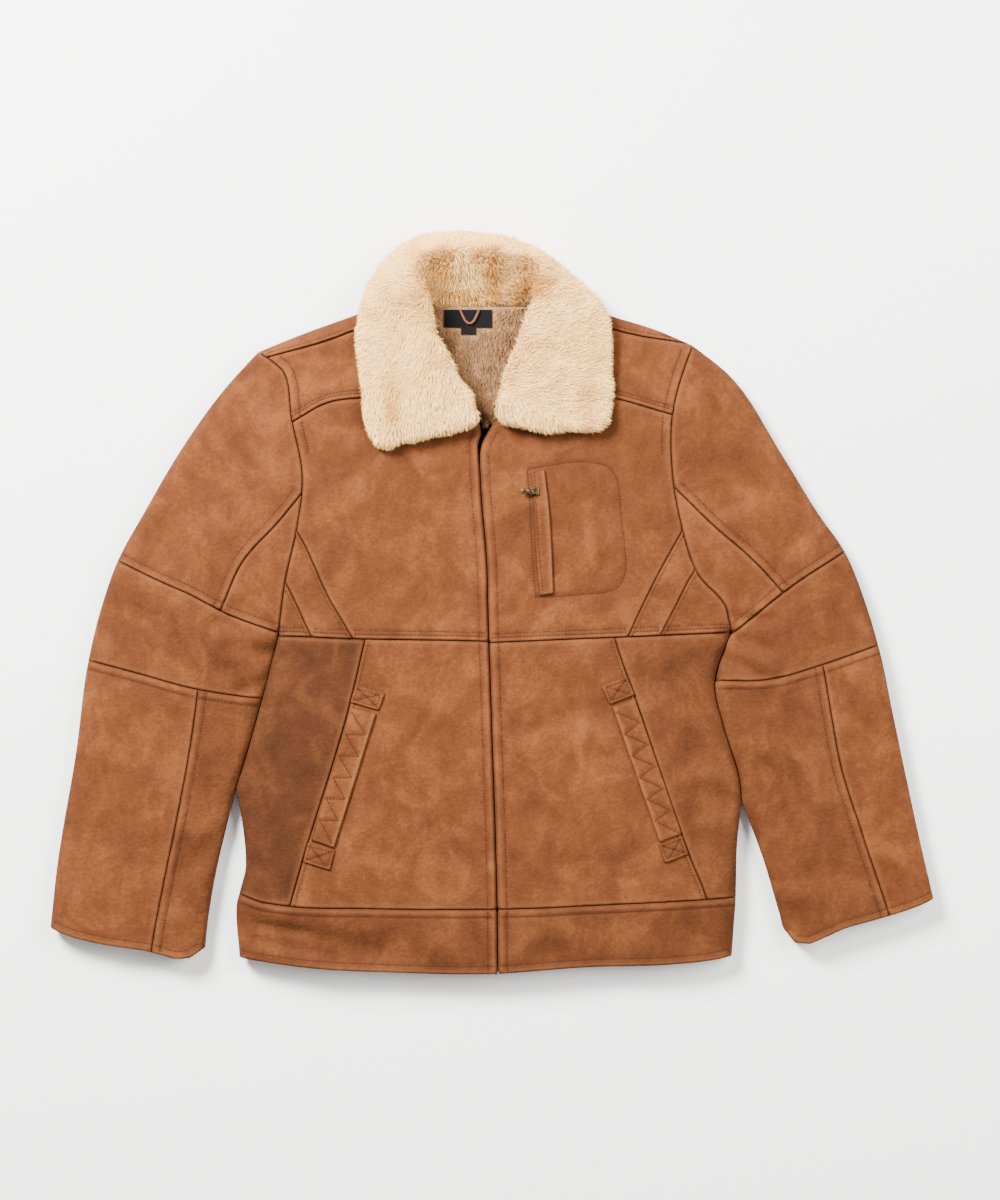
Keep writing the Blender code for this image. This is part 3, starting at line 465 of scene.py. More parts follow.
def front_under(points, edge=None):
    """The height of the front's pile."""
    edge = from_rims(points) if edge is None else edge
    return MIDDLE + SEAM_GAP / 2 + (PILE_GAP - SEAM_GAP) / 2 * np.minimum(edge / RIM_ROUND, 1)


def edge_stretch(cut, chosen):
    """The longest unbroken stretch of an outline among the chosen points, in order."""
    count = len(cut.plan)
    best, run = [], []
    for k in range(2 * count):
        run = [*run, k % count] if chosen[k % count] else []
        if len(best) < len(run) <= count:
            best = run
    return best


def find_meetings():
    """What each stretch of each outline meets: a piece, a side edge, the middle front or the open bottom."""
    for cut in CUTS:
        cut.meets[from_rims(cut.plan) < 0.6] = "rim"
        for other in CUTS:
            if other is cut or other.lies != cut.lies:
                continue
            away, _ = distance_to(cut.plan, other.plan, other.ends)
            cut.meets[(away < SEAM_REACH) & (cut.meets == "")] = other.base
        bare = cut.meets == ""
        cut.meets[bare & (np.abs(cut.out[:, 0]) > 0.6) & (np.abs(cut.plan[:, 0]) < 25)] = "middle"
        cut.meets[bare & (cut.out[:, 1] < -0.7) & (cut.plan[:, 1] < -280)] = "bottom"


def plan_stitching():
    """The rows of topstitching of each piece, and how tightly its edges roll."""
    for cut in CUTS:
        lapped = np.zeros(len(cut.plan), bool)
        for base, meets, offsets, lowest in SEAM_ROWS:
            if base != cut.base:
                continue
            chosen = np.array([what.startswith(meets) for what in cut.meets])
            lapped |= chosen
            chosen &= cut.plan[:, 1] > lowest
            run = edge_stretch(cut, chosen)
            if len(run) < 3:
                continue
            stretch = cut.plan[run]
            for offset in offsets:
                line = stretch - offset * cut.out[run]
                clear = from_line(line, stretch) > offset - 0.5
                clear &= is_inside(line, cut.plan) & (distance_to(line, cut.plan, cut.ends)[0] > 0.7)
                line = line[clear]
                if len(line) > 2:
                    cut.rows.append((line, stretch, offset))
        kinds = np.where(lapped, "over", "under").astype(object)
        kinds[(cut.meets == "middle") | (cut.meets == "bottom") | (cut.meets == "")] = "open"
        kinds[cut.meets == "rim"] = "rim"
        cut.roll = np.array([EDGE_ROLL[kind] for kind in kinds])
        if cut.name == "front_chest_left":
            cut.rows.append((curve(CHEST_POCKET, 3.0), None, 0.0))
            cut.rows.append((curve(CHEST_OPENING, 3.0) - [3.4, 0], None, 0.0))
            cut.piping.append((curve(CHEST_OPENING, 3.0), -PIPING_RISE))


find_meetings()
plan_stitching()


def zigzag(corners):
    """Stitching to and fro along a welt: steep strokes down its length and nearly crosswise returns."""
    a, b, c, d = (np.array(corner) for corner in corners)
    turns = round(float(np.linalg.norm(c - b)) / ZIGZAG_PERIOD)
    run = []
    for k in range(turns):
        run.append(a + (d - a) * (k + 0.12) / turns)
        run.append(b + (c - b) * (k + 0.88) / turns)
    return straight_run(run)


def straight_run(corners):
    """Straight runs between corners, with a point about every 2 mm."""
    run = []
    for a, b in zip(corners[:-1], corners[1:]):
        count = max(2, round(float(np.linalg.norm(np.subtract(b, a))) / 2))
        run += [np.add(a, np.multiply(np.subtract(b, a), k / count)) for k in range(count)]
    return np.array([*run, corners[-1]])


def sewn_on():
    """The welts and tabs of the pockets, with their stitching."""
    patches = []
    for node in sorted(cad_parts):
        if not node.startswith("pocket_") and node != "chest_pocket_welt":
            continue
        patch = Cut(node, node, loops_of(node, 1)[0], "over")
        patch.lift = PATCH_GAP + PATCH_THICK
        patch.roll[:] = EDGE_ROLL["patch"]
        if node in WELT_PIPING:
            patch.piping = [(straight_run(WELT_PIPING[node]), PIPING_RISE)]
        for name, *corners in PATCH_LINES:
            if name == node and len(corners) == 4:
                patch.rows.append((zigzag(corners), None, 0.0))
            elif name == node:
                patch.rows.append((straight_run(corners), None, 0.0))
        if "tab" in node:
            box = patch.plan - TAB_INSET * patch.out
            clear = distance_to(box, patch.plan, patch.ends)[0] > TAB_INSET - 0.4
            box = box[clear]
            patch.rows.append((np.vstack([box, box[:1]]), None, 0.0))
            corners = [np.array(corner) for corner in box_corners(box)]
            patch.rows.append((straight_run([corners[0], corners[2]]), None, 0.0))
            patch.rows.append((straight_run([corners[1], corners[3]]), None, 0.0))
        patches.append(patch)
    return patches


def box_corners(ring):
    """The four corners of a run of points that is nearly a rectangle, in order round it."""
    centre = ring.mean(axis=0)
    _, _, axes = np.linalg.svd(ring - centre, full_matrices=False)
    turned = (ring - centre) @ axes.T
    corners = ((1, 1), (1, -1), (-1, -1), (-1, 1))
    return [ring[int((turned[:, 0] * u + turned[:, 1] * v * 2).argmax())] for u, v in corners]


PATCHES = sewn_on()


def sewn_skin(cut, points):
    """The height of one piece's outer skin with its rolled edges and stitching, and how worn and lit it is
    there: rubbed paler with a painted highlight on raised edges, painted shade in grooves and stitch dents.
    """
    edge = from_rims(points)
    height = skin(points, edge) + cut.lift
    away, which = distance_to(points, cut.plan, cut.ends)
    roll = cut.roll[which]
    inside = np.clip(1 - away / np.maximum(roll, 0.01), 0, 1)
    drop = roll * (1 - np.sqrt(1 - inside**2)) * np.clip((height - MIDDLE) / 8, 0, 1)
    seam = roll > 0
    # The raised edge beside a seam is rubbed paler with a painted highlight; the seam groove gets painted
    # shade
    rubbed = RUB_AND_HIGHLIGHT * np.exp(-(((away - RUB_AND_HIGHLIGHT_AWAY) / RUB_AND_HIGHLIGHT_HALF) ** 2))
    wear_highlight_and_shade = seam * (rubbed - SEAM_SHADE * np.exp(-((away / SEAM_SHADE_HALF) ** 2)))
    for line, stretch, offset in cut.rows:
        sewn = np.exp(-((from_line(points, line) / STITCH_DENT_HALF) ** 2))
        height -= STITCH_DENT * sewn * rounding(edge)
        # Painted shade in each stitch dent
        wear_highlight_and_shade -= STITCH_SHADE * sewn
        if stretch is not None:
            beyond = np.clip((from_line(points, stretch) - offset) / 3.0, 0, 1)
            height += STRIP_RISE * (1 - beyond) * rounding(edge) / len(cut.rows)
    for line, rise in cut.piping:
        ridge = np.exp(-((from_line(points, line) / PIPING_HALF) ** 2))
        height += rise * ridge
        # Raised piping gets a painted highlight, a sunk groove painted shade
        wear_highlight_and_shade += np.sign(rise) * ridge
    return height - drop, wear_highlight_and_shade


# Meshes
def thinned(rows):
    """The points of several rows, each with its least spacing, without those that crowd earlier ones."""
    cell = 5.0
    cells = {}
    kept = []
    for row, least in rows:
        for x, y in row:
            i, j = int(x // cell), int(y // cell)
            near = [p for u in (i - 1, i, i + 1) for v in (j - 1, j, j + 1) for p in cells.get((u, v), ())]
            if all((x - a) ** 2 + (y - b) ** 2 > least * least for a, b in near):
                cells.setdefault((i, j), []).append((x, y))
                kept.append((x, y))
    return np.array(kept).reshape(-1, 2)


def hex_grid(ring, spacing, seed):
    """Jittered points over the box of an outline."""
    low, high = ring.min(axis=0), ring.max(axis=0)
    rows = np.arange(low[1], high[1], spacing * 0.87)
    across = np.arange(low[0], high[0], spacing)
    grid = [(x + (n % 2) * spacing / 2, y) for n, y in enumerate(rows) for x in across]
    grid = np.array(grid).reshape(-1, 2)
    return grid + np.random.default_rng(seed).uniform(-0.18, 0.18, grid.shape) * spacing


def skin_points(cut, spacing, rows, seed):
    """Points inside a piece: rows along its edges and stitching, then a grid."""
    found = []
    for away in rows:
        row = cut.plan - away * cut.out
        close = distance_to(row, cut.plan, cut.ends)[0]
        found.append((row[(close > 0.93 * away) & is_inside(row, cut.plan)], 0.75))
    for line, _, _ in cut.rows if spacing < OVER_PILE else ():
        aside = outward(np.vstack([line, line[-1:] + 0.01]))[: len(line)]
        for away in (0.0, 1.6, -1.6):
            row = line + away * aside
            close = distance_to(row, cut.plan, cut.ends)[0]
            found.append((row[(close > 0.6) & is_inside(row, cut.plan)], 1.0))
    grid = hex_grid(cut.plan, spacing, seed)
    close = distance_to(grid, cut.plan, cut.ends)[0]
    clear = (close > (rows[-1] if rows else 0) + spacing / 3) & is_inside(grid, cut.plan)
    found.append((grid[clear], spacing * 0.6))
    return thinned(found)


def filled(ring, inner):
    """Triangles over an outline through its inner points: the points, the faces, and where the ring went."""
    plan = [Vector(p) for p in [*ring, *inner]]
    count = len(ring)
    points, _, faces, origins, _, _ = delaunay_2d_cdt(plan, [], [list(range(count))], 1, 1e-5)
    ring_at = {source: k for k, sources in enumerate(origins) for source in sources if source < count}
    return np.array([tuple(p) for p in points]), [tuple(face) for face in faces], ring_at


def mesh_object(name, points, faces, materials, kinds, attributes):
    """A mesh from points in mm and faces, with a material for each face and values at its points."""
    mesh = bpy.data.meshes.new(name)
    mesh.from_pydata([tuple(p) for p in np.asarray(points) * MM], [], faces)
    for material in materials:
        mesh.materials.append(material)
    mesh.polygons.foreach_set("material_index", np.asarray(kinds, np.int32))
    for key, values in attributes.items():
        mesh.attributes.new(key, "FLOAT", "POINT").data.foreach_set("value", np.asarray(values, np.float32))
    mesh.shade_smooth()
    mesh.update()
    obj = bpy.data.objects.new(name, mesh)
    bpy.context.scene.collection.objects.link(obj)
    return obj


def shell(name, parts, materials):
    """A closed shell or several, each from an outline with its upper and lower skins."""
    points, faces, kinds = [], [], []
    # Colour marks at the points: seam wear with painted highlight and painted shade, a number for each piece,
    # and each piece's tone
    values = {"wear_highlight_and_shade": [], "piece": [], "tone_and_shade": []}
    # The piece's tone, on the side panels partly painted shade
    tone_and_shade = next((tone_and_shade for start, tone_and_shade in PIECE_TONES_AND_SHADE if name.startswith(start)), 1.0)
    total = 0
    for number, part in enumerate(parts):
        ring, top_inner, low_inner, top, low, outer, open_edge, overhang = part
        top_plan, top_faces, top_at = filled(ring, top_inner)
        low_plan, low_faces, low_at = filled(ring, low_inner)
        top_height, wear_highlight_and_shade = top(top_plan)
        low_height = low(low_plan)
        top_plan = top_plan.copy()
        ring_top = np.array([top_at[k] for k in range(len(ring))])
        ring_low = np.array([low_at[k] for k in range(len(ring))])
        top_plan[ring_top] += overhang
        share = 0.5 if outer == "top" else 0.45
        middle_height = low_height[ring_low] + share * (top_height[ring_top] - low_height[ring_low])
        middle = np.column_stack([ring, middle_height])
        block = [np.column_stack([top_plan, top_height]), np.column_stack([low_plan, low_height]), middle]
        base_top, base_low = total, total + len(top_plan)
        base_middle = base_low + len(low_plan)
        skin_kind, pile_kind = (0, 1) if outer == "top" else (1, 0)
        faces += [tuple(k + base_top for k in face) for face in top_faces]
        kinds += [skin_kind] * len(top_faces)
        faces += [tuple(k + base_low for k in face[::-1]) for face in low_faces]
        kinds += [pile_kind] * len(low_faces)
        for k in range(len(ring)):
            n = (k + 1) % len(ring)
            upper = (base_top + ring_top[k], base_top + ring_top[n], base_middle + n, base_middle + k)
            lower = (base_middle + k, base_middle + n, base_low + ring_low[n], base_low + ring_low[k])
            faces += [upper[::-1], lower[::-1]]
            bare = open_edge[k] and open_edge[n]
            kinds += [skin_kind if bare else 0, pile_kind if bare else 0]
        points += block
        values["wear_highlight_and_shade"] += [wear_highlight_and_shade, np.zeros(len(low_plan)), np.zeros(len(ring))]
        total = base_middle + len(ring)
        values["piece"] += [np.full(len(b), float(sum(map(ord, name)) % 97) + 7 * number) for b in block]
        values["tone_and_shade"] += [np.full(len(b), tone_and_shade) for b in block]
    joined = {key: np.concatenate(value) for key, value in values.items()}
    return mesh_object(name, np.vstack(points), faces, materials, kinds, joined)


def cut_size(plan, allowance=SEAM_ALLOWANCE):
    """Width and length in metres of the smallest rectangle that an outline is cut from, and its area."""
    best = None
    for degrees in range(0, 90, 2):
        a = math.radians(degrees)
        turned = plan @ np.array([[math.cos(a), -math.sin(a)], [math.sin(a), math.cos(a)]])
        size = turned.max(axis=0) - turned.min(axis=0)
        if best is None or size.prod() < best.prod():
            best = size
    following = np.roll(plan, -1, axis=0)
    area = abs((plan[:, 0] * following[:, 1] - following[:, 0] * plan[:, 1]).sum()) / 2
    area += allowance * np.linalg.norm(following - plan, axis=1).sum()
    best = best + 2 * allowance
    area = min(area, best.prod())
    return (float(min(best)) * MM, float(max(best)) * MM), float(area) * MM * MM


def over_part(cut):
    """The shell of a piece of the front or of a sleeve's upper side."""
    middle = cut.meets == "middle"
    wider = np.where(cut.plan[:, 1] < CLOSED_BELOW, OVERHANG_CLOSED, OVERHANG_PARTED)
    overhang = cut.out * wider[:, None] * middle[:, None]
    is_open = (cut.meets == "bottom") | (cut.meets == "")
    return (
        cut.plan,
        skin_points(cut, OVER_SKIN, EDGE_ROWS, len(cut.ring)),
        skin_points(cut, 20.0, (), 1),
        lambda points: sewn_skin(cut, points),
        front_under,
        "top",
        is_open,
        overhang,
    )


def back_under(points):
    """The height of the back's outer skin: flat on the surface, with rounded side edges."""
    return (MIDDLE - RIM_LEAST) * (1 - rounding(from_rims(points)))


def back_top(points):
    """The height of the back's pile, and its wear and painted light, which are none."""
    return 2 * MIDDLE - front_under(points), np.zeros(len(points))


def below_part(cut, spacing):
    """The shell of a piece of the back."""
    is_open = (cut.meets == "bottom") | (cut.meets == "")
    return (
        cut.plan,
        skin_points(cut, spacing, (), 2),
        skin_points(cut, 24.0, (0.5, 1.4, 2.8, 5.0, 8.0, 12.0, 16.0), 3),
        back_top,
        back_under,
        "low",
        is_open,
        np.zeros_like(cut.plan),
    )


def declare(obj, node, cuts, allowance=SEAM_ALLOWANCE):
    """Rides a sheepskin piece on the jacket in place of its solid. The size of its cut is worked out but not
    kept.
    """
    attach(obj, BODY)
    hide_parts(node)
    plan = cuts[0].plan
    flat, area = cut_size(plan, allowance)
    for cut in cuts[1:]:
        extra, more = cut_size(cut.plan)
        flat, area = (flat[0] + extra[0], flat[1]), area + more


# Settings
def colour_setting(name, description, code):
    """A colour of the panel that starts at an sRGB hex colour."""
    return FloatVectorProperty(
        name=name, description=description, subtype="COLOR", min=0, max=1, default=shade(code)
    )


class SuedeSettings(bpy.types.PropertyGroup):
    """Colours of the suede and of the pile behind it."""

    mid: colour_setting("Nap", "Suede colour", "502A12")
    dark: colour_setting("Dark nap", "Suede brushed down", "40200B")
    light: colour_setting("Light nap", "Suede brushed up", "663A1C")
    pile: colour_setting("Pile", "Wool inside the jacket", "86603A")


class FurSettings(bpy.types.PropertyGroup):
    """Sizes and colours of the collar's wool."""

    cream: colour_setting("Cream", "Wool of the collar", "F8CB7C")
    # Golden: yellowed wool, and painted shade on the collar's inner face
    golden: colour_setting("Golden", "Yellowed wool", "CF9244")
    length: FloatProperty(
        name="Length", description="Length of a tuft", subtype="DISTANCE", min=0.002, max=0.03, default=0.0056
    )
    width: FloatProperty(
        name="Width",
        description="Width of a tuft at its root",
        subtype="DISTANCE",
        min=0.0005,
        default=0.0015,
    )
    density: FloatProperty(
        name="Density", description="Tufts on each square metre", min=1000, max=900000, default=860000
    )


class StitchSettings(bpy.types.PropertyGroup):
    """Sizes and colour of the topstitching."""

    pitch: FloatProperty(
        name="Pitch", description="From stitch to stitch", subtype="DISTANCE", min=0.001, default=0.0034
    )
    length: FloatProperty(
        name="Length",
        description="Thread that shows in a stitch",
        subtype="DISTANCE",
        min=0.0005,
        default=0.0015,
    )
    thickness: FloatProperty(
        name="Thickness", description="Thickness of the thread", subtype="DISTANCE", min=0.0002, default=0.001
    )
    colour: colour_setting("Thread", "Thread colour", "1D0F07")


class StageSettings(bpy.types.PropertyGroup):
    """The floor and the light."""

    floor: colour_setting("Floor", "Floor colour", "F4F3F1")
    key: FloatProperty(
        name="Key light", description="Power of the large light", subtype="POWER", default=520.0
    )
    fill: FloatProperty(name="Fill light", description="Strength of the light all round", default=0.6)


def settings():
    return bpy.context.scene.shearling_jacket


class JacketSettings(bpy.types.PropertyGroup):
    """Everything that can be changed about the jacket's look."""

    suede: PointerProperty(type=SuedeSettings)
    fur: PointerProperty(type=FurSettings)
    stitches: PointerProperty(type=StitchSettings)
    stage: PointerProperty(type=StageSettings)


# Materials
def maths(tree, operation, *values, clamp=False):
    """A maths node of a tree."""
    settings = {"operation": operation, "use_clamp": clamp}
    return add(tree, "ShaderNodeMath", settings, dict(enumerate(values)))


def attribute(tree, name):
    """A value that the points of a mesh carry."""
    return add(tree, "ShaderNodeAttribute", {"attribute_name": name}).outputs["Fac"]


def colour_by(tree, shader, level, low, high):
    """Colours a shader by a level, between two stops. Each stop is a level and a colour."""
    ramp = add(tree, "ShaderNodeValToRGB", None, {"Fac": level})
    for stop, (place, colour) in zip(ramp.color_ramp.elements, (low, high)):
        stop.position, stop.color = place, colour
    tree.links.new(ramp.outputs["Color"], shader.inputs["Base Color"])


def relief_by(tree, shader, level, strength, depth):
    """Gives a shader relief by a level, with its depth in m."""
    bump = add(tree, "ShaderNodeBump", None, {"Height": level, "Strength": strength, "Distance": depth})
    tree.links.new(bump.outputs["Normal"], shader.inputs["Normal"])


def new_material(name, roughness, metallic=0.0, ior=1.5):
    """A material and its tree and shader, with the values that are the same all over it."""
    material = bpy.data.materials.get(name)
    if material:
        return material, None, None
    material = bpy.data.materials.new(name)
    material.use_nodes = True
    tree = material.node_tree
    shader = tree.nodes["Principled BSDF"]
    shader.inputs["Roughness"].default_value = roughness
    shader.inputs["Metallic"].default_value = metallic
    if not metallic:
        shader.inputs["IOR"].default_value = ior
    return material, tree, shader


def suede():
    """Brushed sheepskin suede. The nap lies in clouds of light and dark; raised seam edges are rubbed paler
    with a painted highlight, and seam grooves and stitch dents get painted shade.
    """
    material, tree, shader = new_material("brushed_sheepskin_suede", 0.92, ior=1.45)
    if tree is None:
        return material
    values = settings().suede
    place = add(tree, "ShaderNodeTexCoord").outputs["Object"]
    piece = attribute(tree, "piece")
    clouds = add(
        tree,
        "ShaderNodeTexNoise",
        {"noise_dimensions": "4D"},
        {"Vector": place, "W": piece, "Scale": 1 / 0.06, "Detail": 5.0, "Roughness": 0.6, "Distortion": 1.2},
    ).outputs["Fac"]
    turned = add(
        tree,
        "ShaderNodeMapping",
        None,
        {"Vector": place, "Rotation": (0, 0, math.radians(35)), "Scale": (1.0, 0.45, 1.0)},
    ).outputs["Vector"]
    strokes = add(
        tree,
        "ShaderNodeTexNoise",
        {"noise_dimensions": "4D"},
        {
            "Vector": turned,
            "W": piece,
            "Scale": 1 / 0.017,
            "Detail": 5.0,
            "Roughness": 0.6,
            "Distortion": 0.4,
        },
    ).outputs["Fac"]
    nap = add(
        tree, "ShaderNodeTexNoise", None, {"Vector": place, "Scale": 1 / 0.0036, "Detail": 3.0}
    ).outputs["Fac"]
    broad = maths(tree, "MULTIPLY_ADD", strokes, 0.5, -0.25)
    fine = maths(tree, "MULTIPLY_ADD", nap, 0.34, -0.17)
    mixed = maths(tree, "ADD", broad.outputs[0], fine.outputs[0])
    level = maths(tree, "ADD", mixed.outputs[0], clouds)
    ramp = add(tree, "ShaderNodeValToRGB", None, {"Fac": level.outputs[0]})
    stops = ramp.color_ramp.elements
    stops[0].position, stops[0].color = 0.26, (*values.dark, 1)
    stops[1].position, stops[1].color = 0.76, (*values.light, 1)
    stops.new(0.5).color = (*values.mid, 1)
    # Each piece's tone, on the side panels partly painted shade
    tone_and_shade = attribute(tree, "tone_and_shade")
    toned_and_shaded = add(
        tree, "ShaderNodeVectorMath", {"operation": "SCALE"}, {0: ramp.outputs["Color"], "Scale": tone_and_shade}
    )
    # Seam marks: above 0 rubbed paler with a painted highlight, below 0 painted shade
    wear_highlight_and_shade = attribute(tree, "wear_highlight_and_shade")
    rubbed = maths(tree, "MULTIPLY", wear_highlight_and_shade, 0.55, clamp=True)
    groove_shade = maths(tree, "MULTIPLY", wear_highlight_and_shade, -0.7, clamp=True)
    # Rubbing and painted highlight, towards a paler brown
    pale = add(
        tree,
        "ShaderNodeMix",
        {"data_type": "RGBA"},
        {0: rubbed.outputs[0], 6: toned_and_shaded.outputs[0], 7: (*shade("6E4225"), 1)},
    )
    # Painted shade in seam grooves and stitch dents, towards a dark brown
    groove_shaded = add(
        tree,
        "ShaderNodeMix",
        {"data_type": "RGBA"},
        {0: groove_shade.outputs[0], 6: pale.outputs[2], 7: (*shade("35180A"), 1)},
    )
    tree.links.new(groove_shaded.outputs[2], shader.inputs["Base Color"])
    relief = maths(tree, "MULTIPLY_ADD", strokes, 0.9, nap)
    relief_by(tree, shader, relief.outputs[0], 0.55, 0.0014)
    shader.inputs["Specular IOR Level"].default_value = 0.15
    return material


def pile():
    """Curly sheep's wool left on the skin. Beige and matt, with painted shade between its curls."""
    material, tree, shader = new_material("wool_pile", 1.0)
    if tree is None:
        return material
    place = add(tree, "ShaderNodeTexCoord").outputs["Object"]
    curls = add(
        tree,
        "ShaderNodeTexNoise",
        None,
        {"Vector": place, "Scale": 1 / 0.0065, "Detail": 3.0, "Distortion": 1.0},
    ).outputs["Fac"]
    colour = settings().suede.pile
    # Painted shade: darker where the curls' relief is low
    colour_by(tree, shader, curls, (0.3, (*(0.55 * c for c in colour), 1)), (0.65, (*colour, 1)))
    relief_by(tree, shader, curls, 0.8, 0.003)
    shader.inputs["Sheen Weight"].default_value = 0.3
    return material


def wool(name, cream, golden, root_shade):
    """Combed wool in tufts, each darkened towards its root with painted shade and pale at its tip. Some
    patches are golden: yellowed wool, and painted shade on the collar's inner face.
    """
    material, tree, shader = new_material(name, 0.9)
    if tree is None:
        return material
    gold = attribute(tree, "gold")
    along = attribute(tree, "along")
    tint = attribute(tree, "tint")
    # Golden where the wool is yellowed, and as painted shade on the collar's inner face
    patched = add(
        tree, "ShaderNodeMix", {"data_type": "RGBA"}, {0: gold, 6: (*cream, 1), 7: (*golden, 1)}
    ).outputs[2]
    # Painted shade: each tuft darker towards its root, and the pelt under the tufts darker too
    lit = maths(tree, "MULTIPLY_ADD", along, 1 - root_shade, root_shade)
    varied = maths(tree, "MULTIPLY_ADD", tint, 0.16, 0.92)
    level = maths(tree, "MULTIPLY", lit.outputs[0], varied.outputs[0])
    coloured = add(
        tree, "ShaderNodeVectorMath", {"operation": "SCALE"}, {0: patched, "Scale": level.outputs[0]}
    ).outputs[0]
    tree.links.new(coloured, shader.inputs["Base Color"])
    shader.inputs["Sheen Weight"].default_value = 0.1
    shader.inputs["Specular IOR Level"].default_value = 0.2
    return material


def collar_wool():
    fur = settings().fur
    return wool("combed_lambswool", fur.cream, fur.golden, 0.74)


def lining_wool():
    colour = settings().suede.pile
    return wool("beige_pile_wool", colour, tuple(0.9 * c for c in colour), 0.5)


def thread():
    """Waxed polyester thread. Dark brown, with only a slight shine."""
    material, tree, shader = new_material("waxed_polyester_thread", 0.8)
    if tree is None:
        return material
    shader.inputs["Specular IOR Level"].default_value = 0.15
    place = add(tree, "ShaderNodeTexCoord").outputs["Object"]
    grime = add(tree, "ShaderNodeTexNoise", None, {"Vector": place, "Scale": 1 / 0.02}).outputs["Fac"]
    colour = settings().stitches.colour
    dark, light = ((*(share * c for c in colour), 1) for share in (0.75, 1.25))
    colour_by(tree, shader, grime, (0.35, dark), (0.65, light))
    return material


def brass():
    """Antique brass, oxidised nearly black and rubbed bright on its high spots."""
    material, tree, shader = new_material("antique_brass", 0.42, metallic=1.0)
    if tree is None:
        return material
    place = add(tree, "ShaderNodeTexCoord").outputs["Object"]
    rubbed = add(
        tree, "ShaderNodeTexNoise", None, {"Vector": place, "Scale": 1 / 0.003, "Detail": 2.0}
    ).outputs["Fac"]
    colour_by(tree, shader, rubbed, (0.35, (*shade("2A2218"), 1)), (0.7, (*shade("75603C"), 1)))
    return material


def woven(name, colour, thread_size):
    """Woven polyester tape. Dark, with fine crossing ribs."""
    material, tree, shader = new_material(name, 0.9)
    if tree is None:
        return material
    shader.inputs["Specular IOR Level"].default_value = 0.1
    place = add(tree, "ShaderNodeTexCoord").outputs["Object"]
    ribs = add(
        tree,
        "ShaderNodeTexWave",
        {"wave_type": "BANDS", "bands_direction": "DIAGONAL"},
        {"Vector": place, "Scale": 1 / thread_size / 6, "Distortion": 0.3},
    ).outputs["Fac"]
    dark, light = ((*(share * c for c in shade(colour)), 1) for share in (0.6, 1.5))
    colour_by(tree, shader, ribs, (0.0, dark), (1.0, light))
    relief_by(tree, shader, ribs, 0.5, 0.0003)
    return material


def leather():
    """Tanned cowhide. Smooth tan grain, darker in its creases."""
    material, tree, shader = new_material("tanned_cowhide", 0.7)
    if tree is None:
        return material
    place = add(tree, "ShaderNodeTexCoord").outputs["Object"]
    cells = add(tree, "ShaderNodeTexVoronoi", None, {"Vector": place, "Scale": 1 / 0.0011})
    grain = cells.outputs["Distance"]
    colour_by(tree, shader, grain, (0.1, (*shade("6A3417"), 1)), (0.6, (*shade("4C230E"), 1)))
    relief_by(tree, shader, grain, 0.3, 0.0003)
    return material


# Geometry Nodes
def new_tree(name, sockets):
    """An empty Geometry Nodes tree with its inputs, and its entry node."""
    tree = bpy.data.node_groups.new(name, "GeometryNodeTree")
    tree.interface.new_socket("Geometry", in_out="INPUT", socket_type="NodeSocketGeometry")
    for key, kind in sockets.items():
        tree.interface.new_socket(key, in_out="INPUT", socket_type=f"NodeSocket{kind}")
    tree.interface.new_socket("Geometry", in_out="OUTPUT", socket_type="NodeSocketGeometry")
    return tree, add(tree, "NodeGroupInput").outputs


def close_tree(tree, geometry, material):
    """Ends a tree: instances made real, their material set, and out."""
    real = add(tree, "GeometryNodeRealizeInstances", None, {"Geometry": geometry})
    dressed = add(tree, "GeometryNodeSetMaterial", None, {"Geometry": real.outputs[0], "Material": material})
    add(tree, "NodeGroupOutput", None, {0: dressed.outputs[0]})


def beads_tree():
    """Small rounded beads strung along lines: stitches, or the teeth of a zip."""
    tree, given = new_tree(
        "beads_on_lines",
        {"Pitch": "Float", "Length": "Float", "Width": "Float", "Height": "Float", "Material": "Material"},
    )
    line = add(tree, "GeometryNodeMeshToCurve", None, {"Mesh": given["Geometry"]})
    even = add(
        tree,
        "GeometryNodeResampleCurve",
        {"mode": "LENGTH"},
        {"Curve": line.outputs[0], "Length": given["Pitch"]},
    )
    bead = add(tree, "GeometryNodeMeshUVSphere", None, {"Segments": 6, "Rings": 4, "Radius": 0.5})
    size = add(
        tree,
        "ShaderNodeCombineXYZ",
        None,
        {"X": given["Length"], "Y": given["Width"], "Z": given["Height"]},
    )
    heading = add(tree, "GeometryNodeInputTangent")
    turned = add(
        tree,
        "FunctionNodeAlignRotationToVector",
        {"axis": "X", "pivot_axis": "Z"},
        {"Vector": heading.outputs[0]},
    )
    beads = add(
        tree,
        "GeometryNodeInstanceOnPoints",
        None,
        {
            "Points": even.outputs[0],
            "Instance": bead.outputs["Mesh"],
            "Rotation": turned.outputs[0],
            "Scale": size.outputs[0],
        },
    )
    close_tree(tree, beads.outputs[0], given["Material"])
    return tree


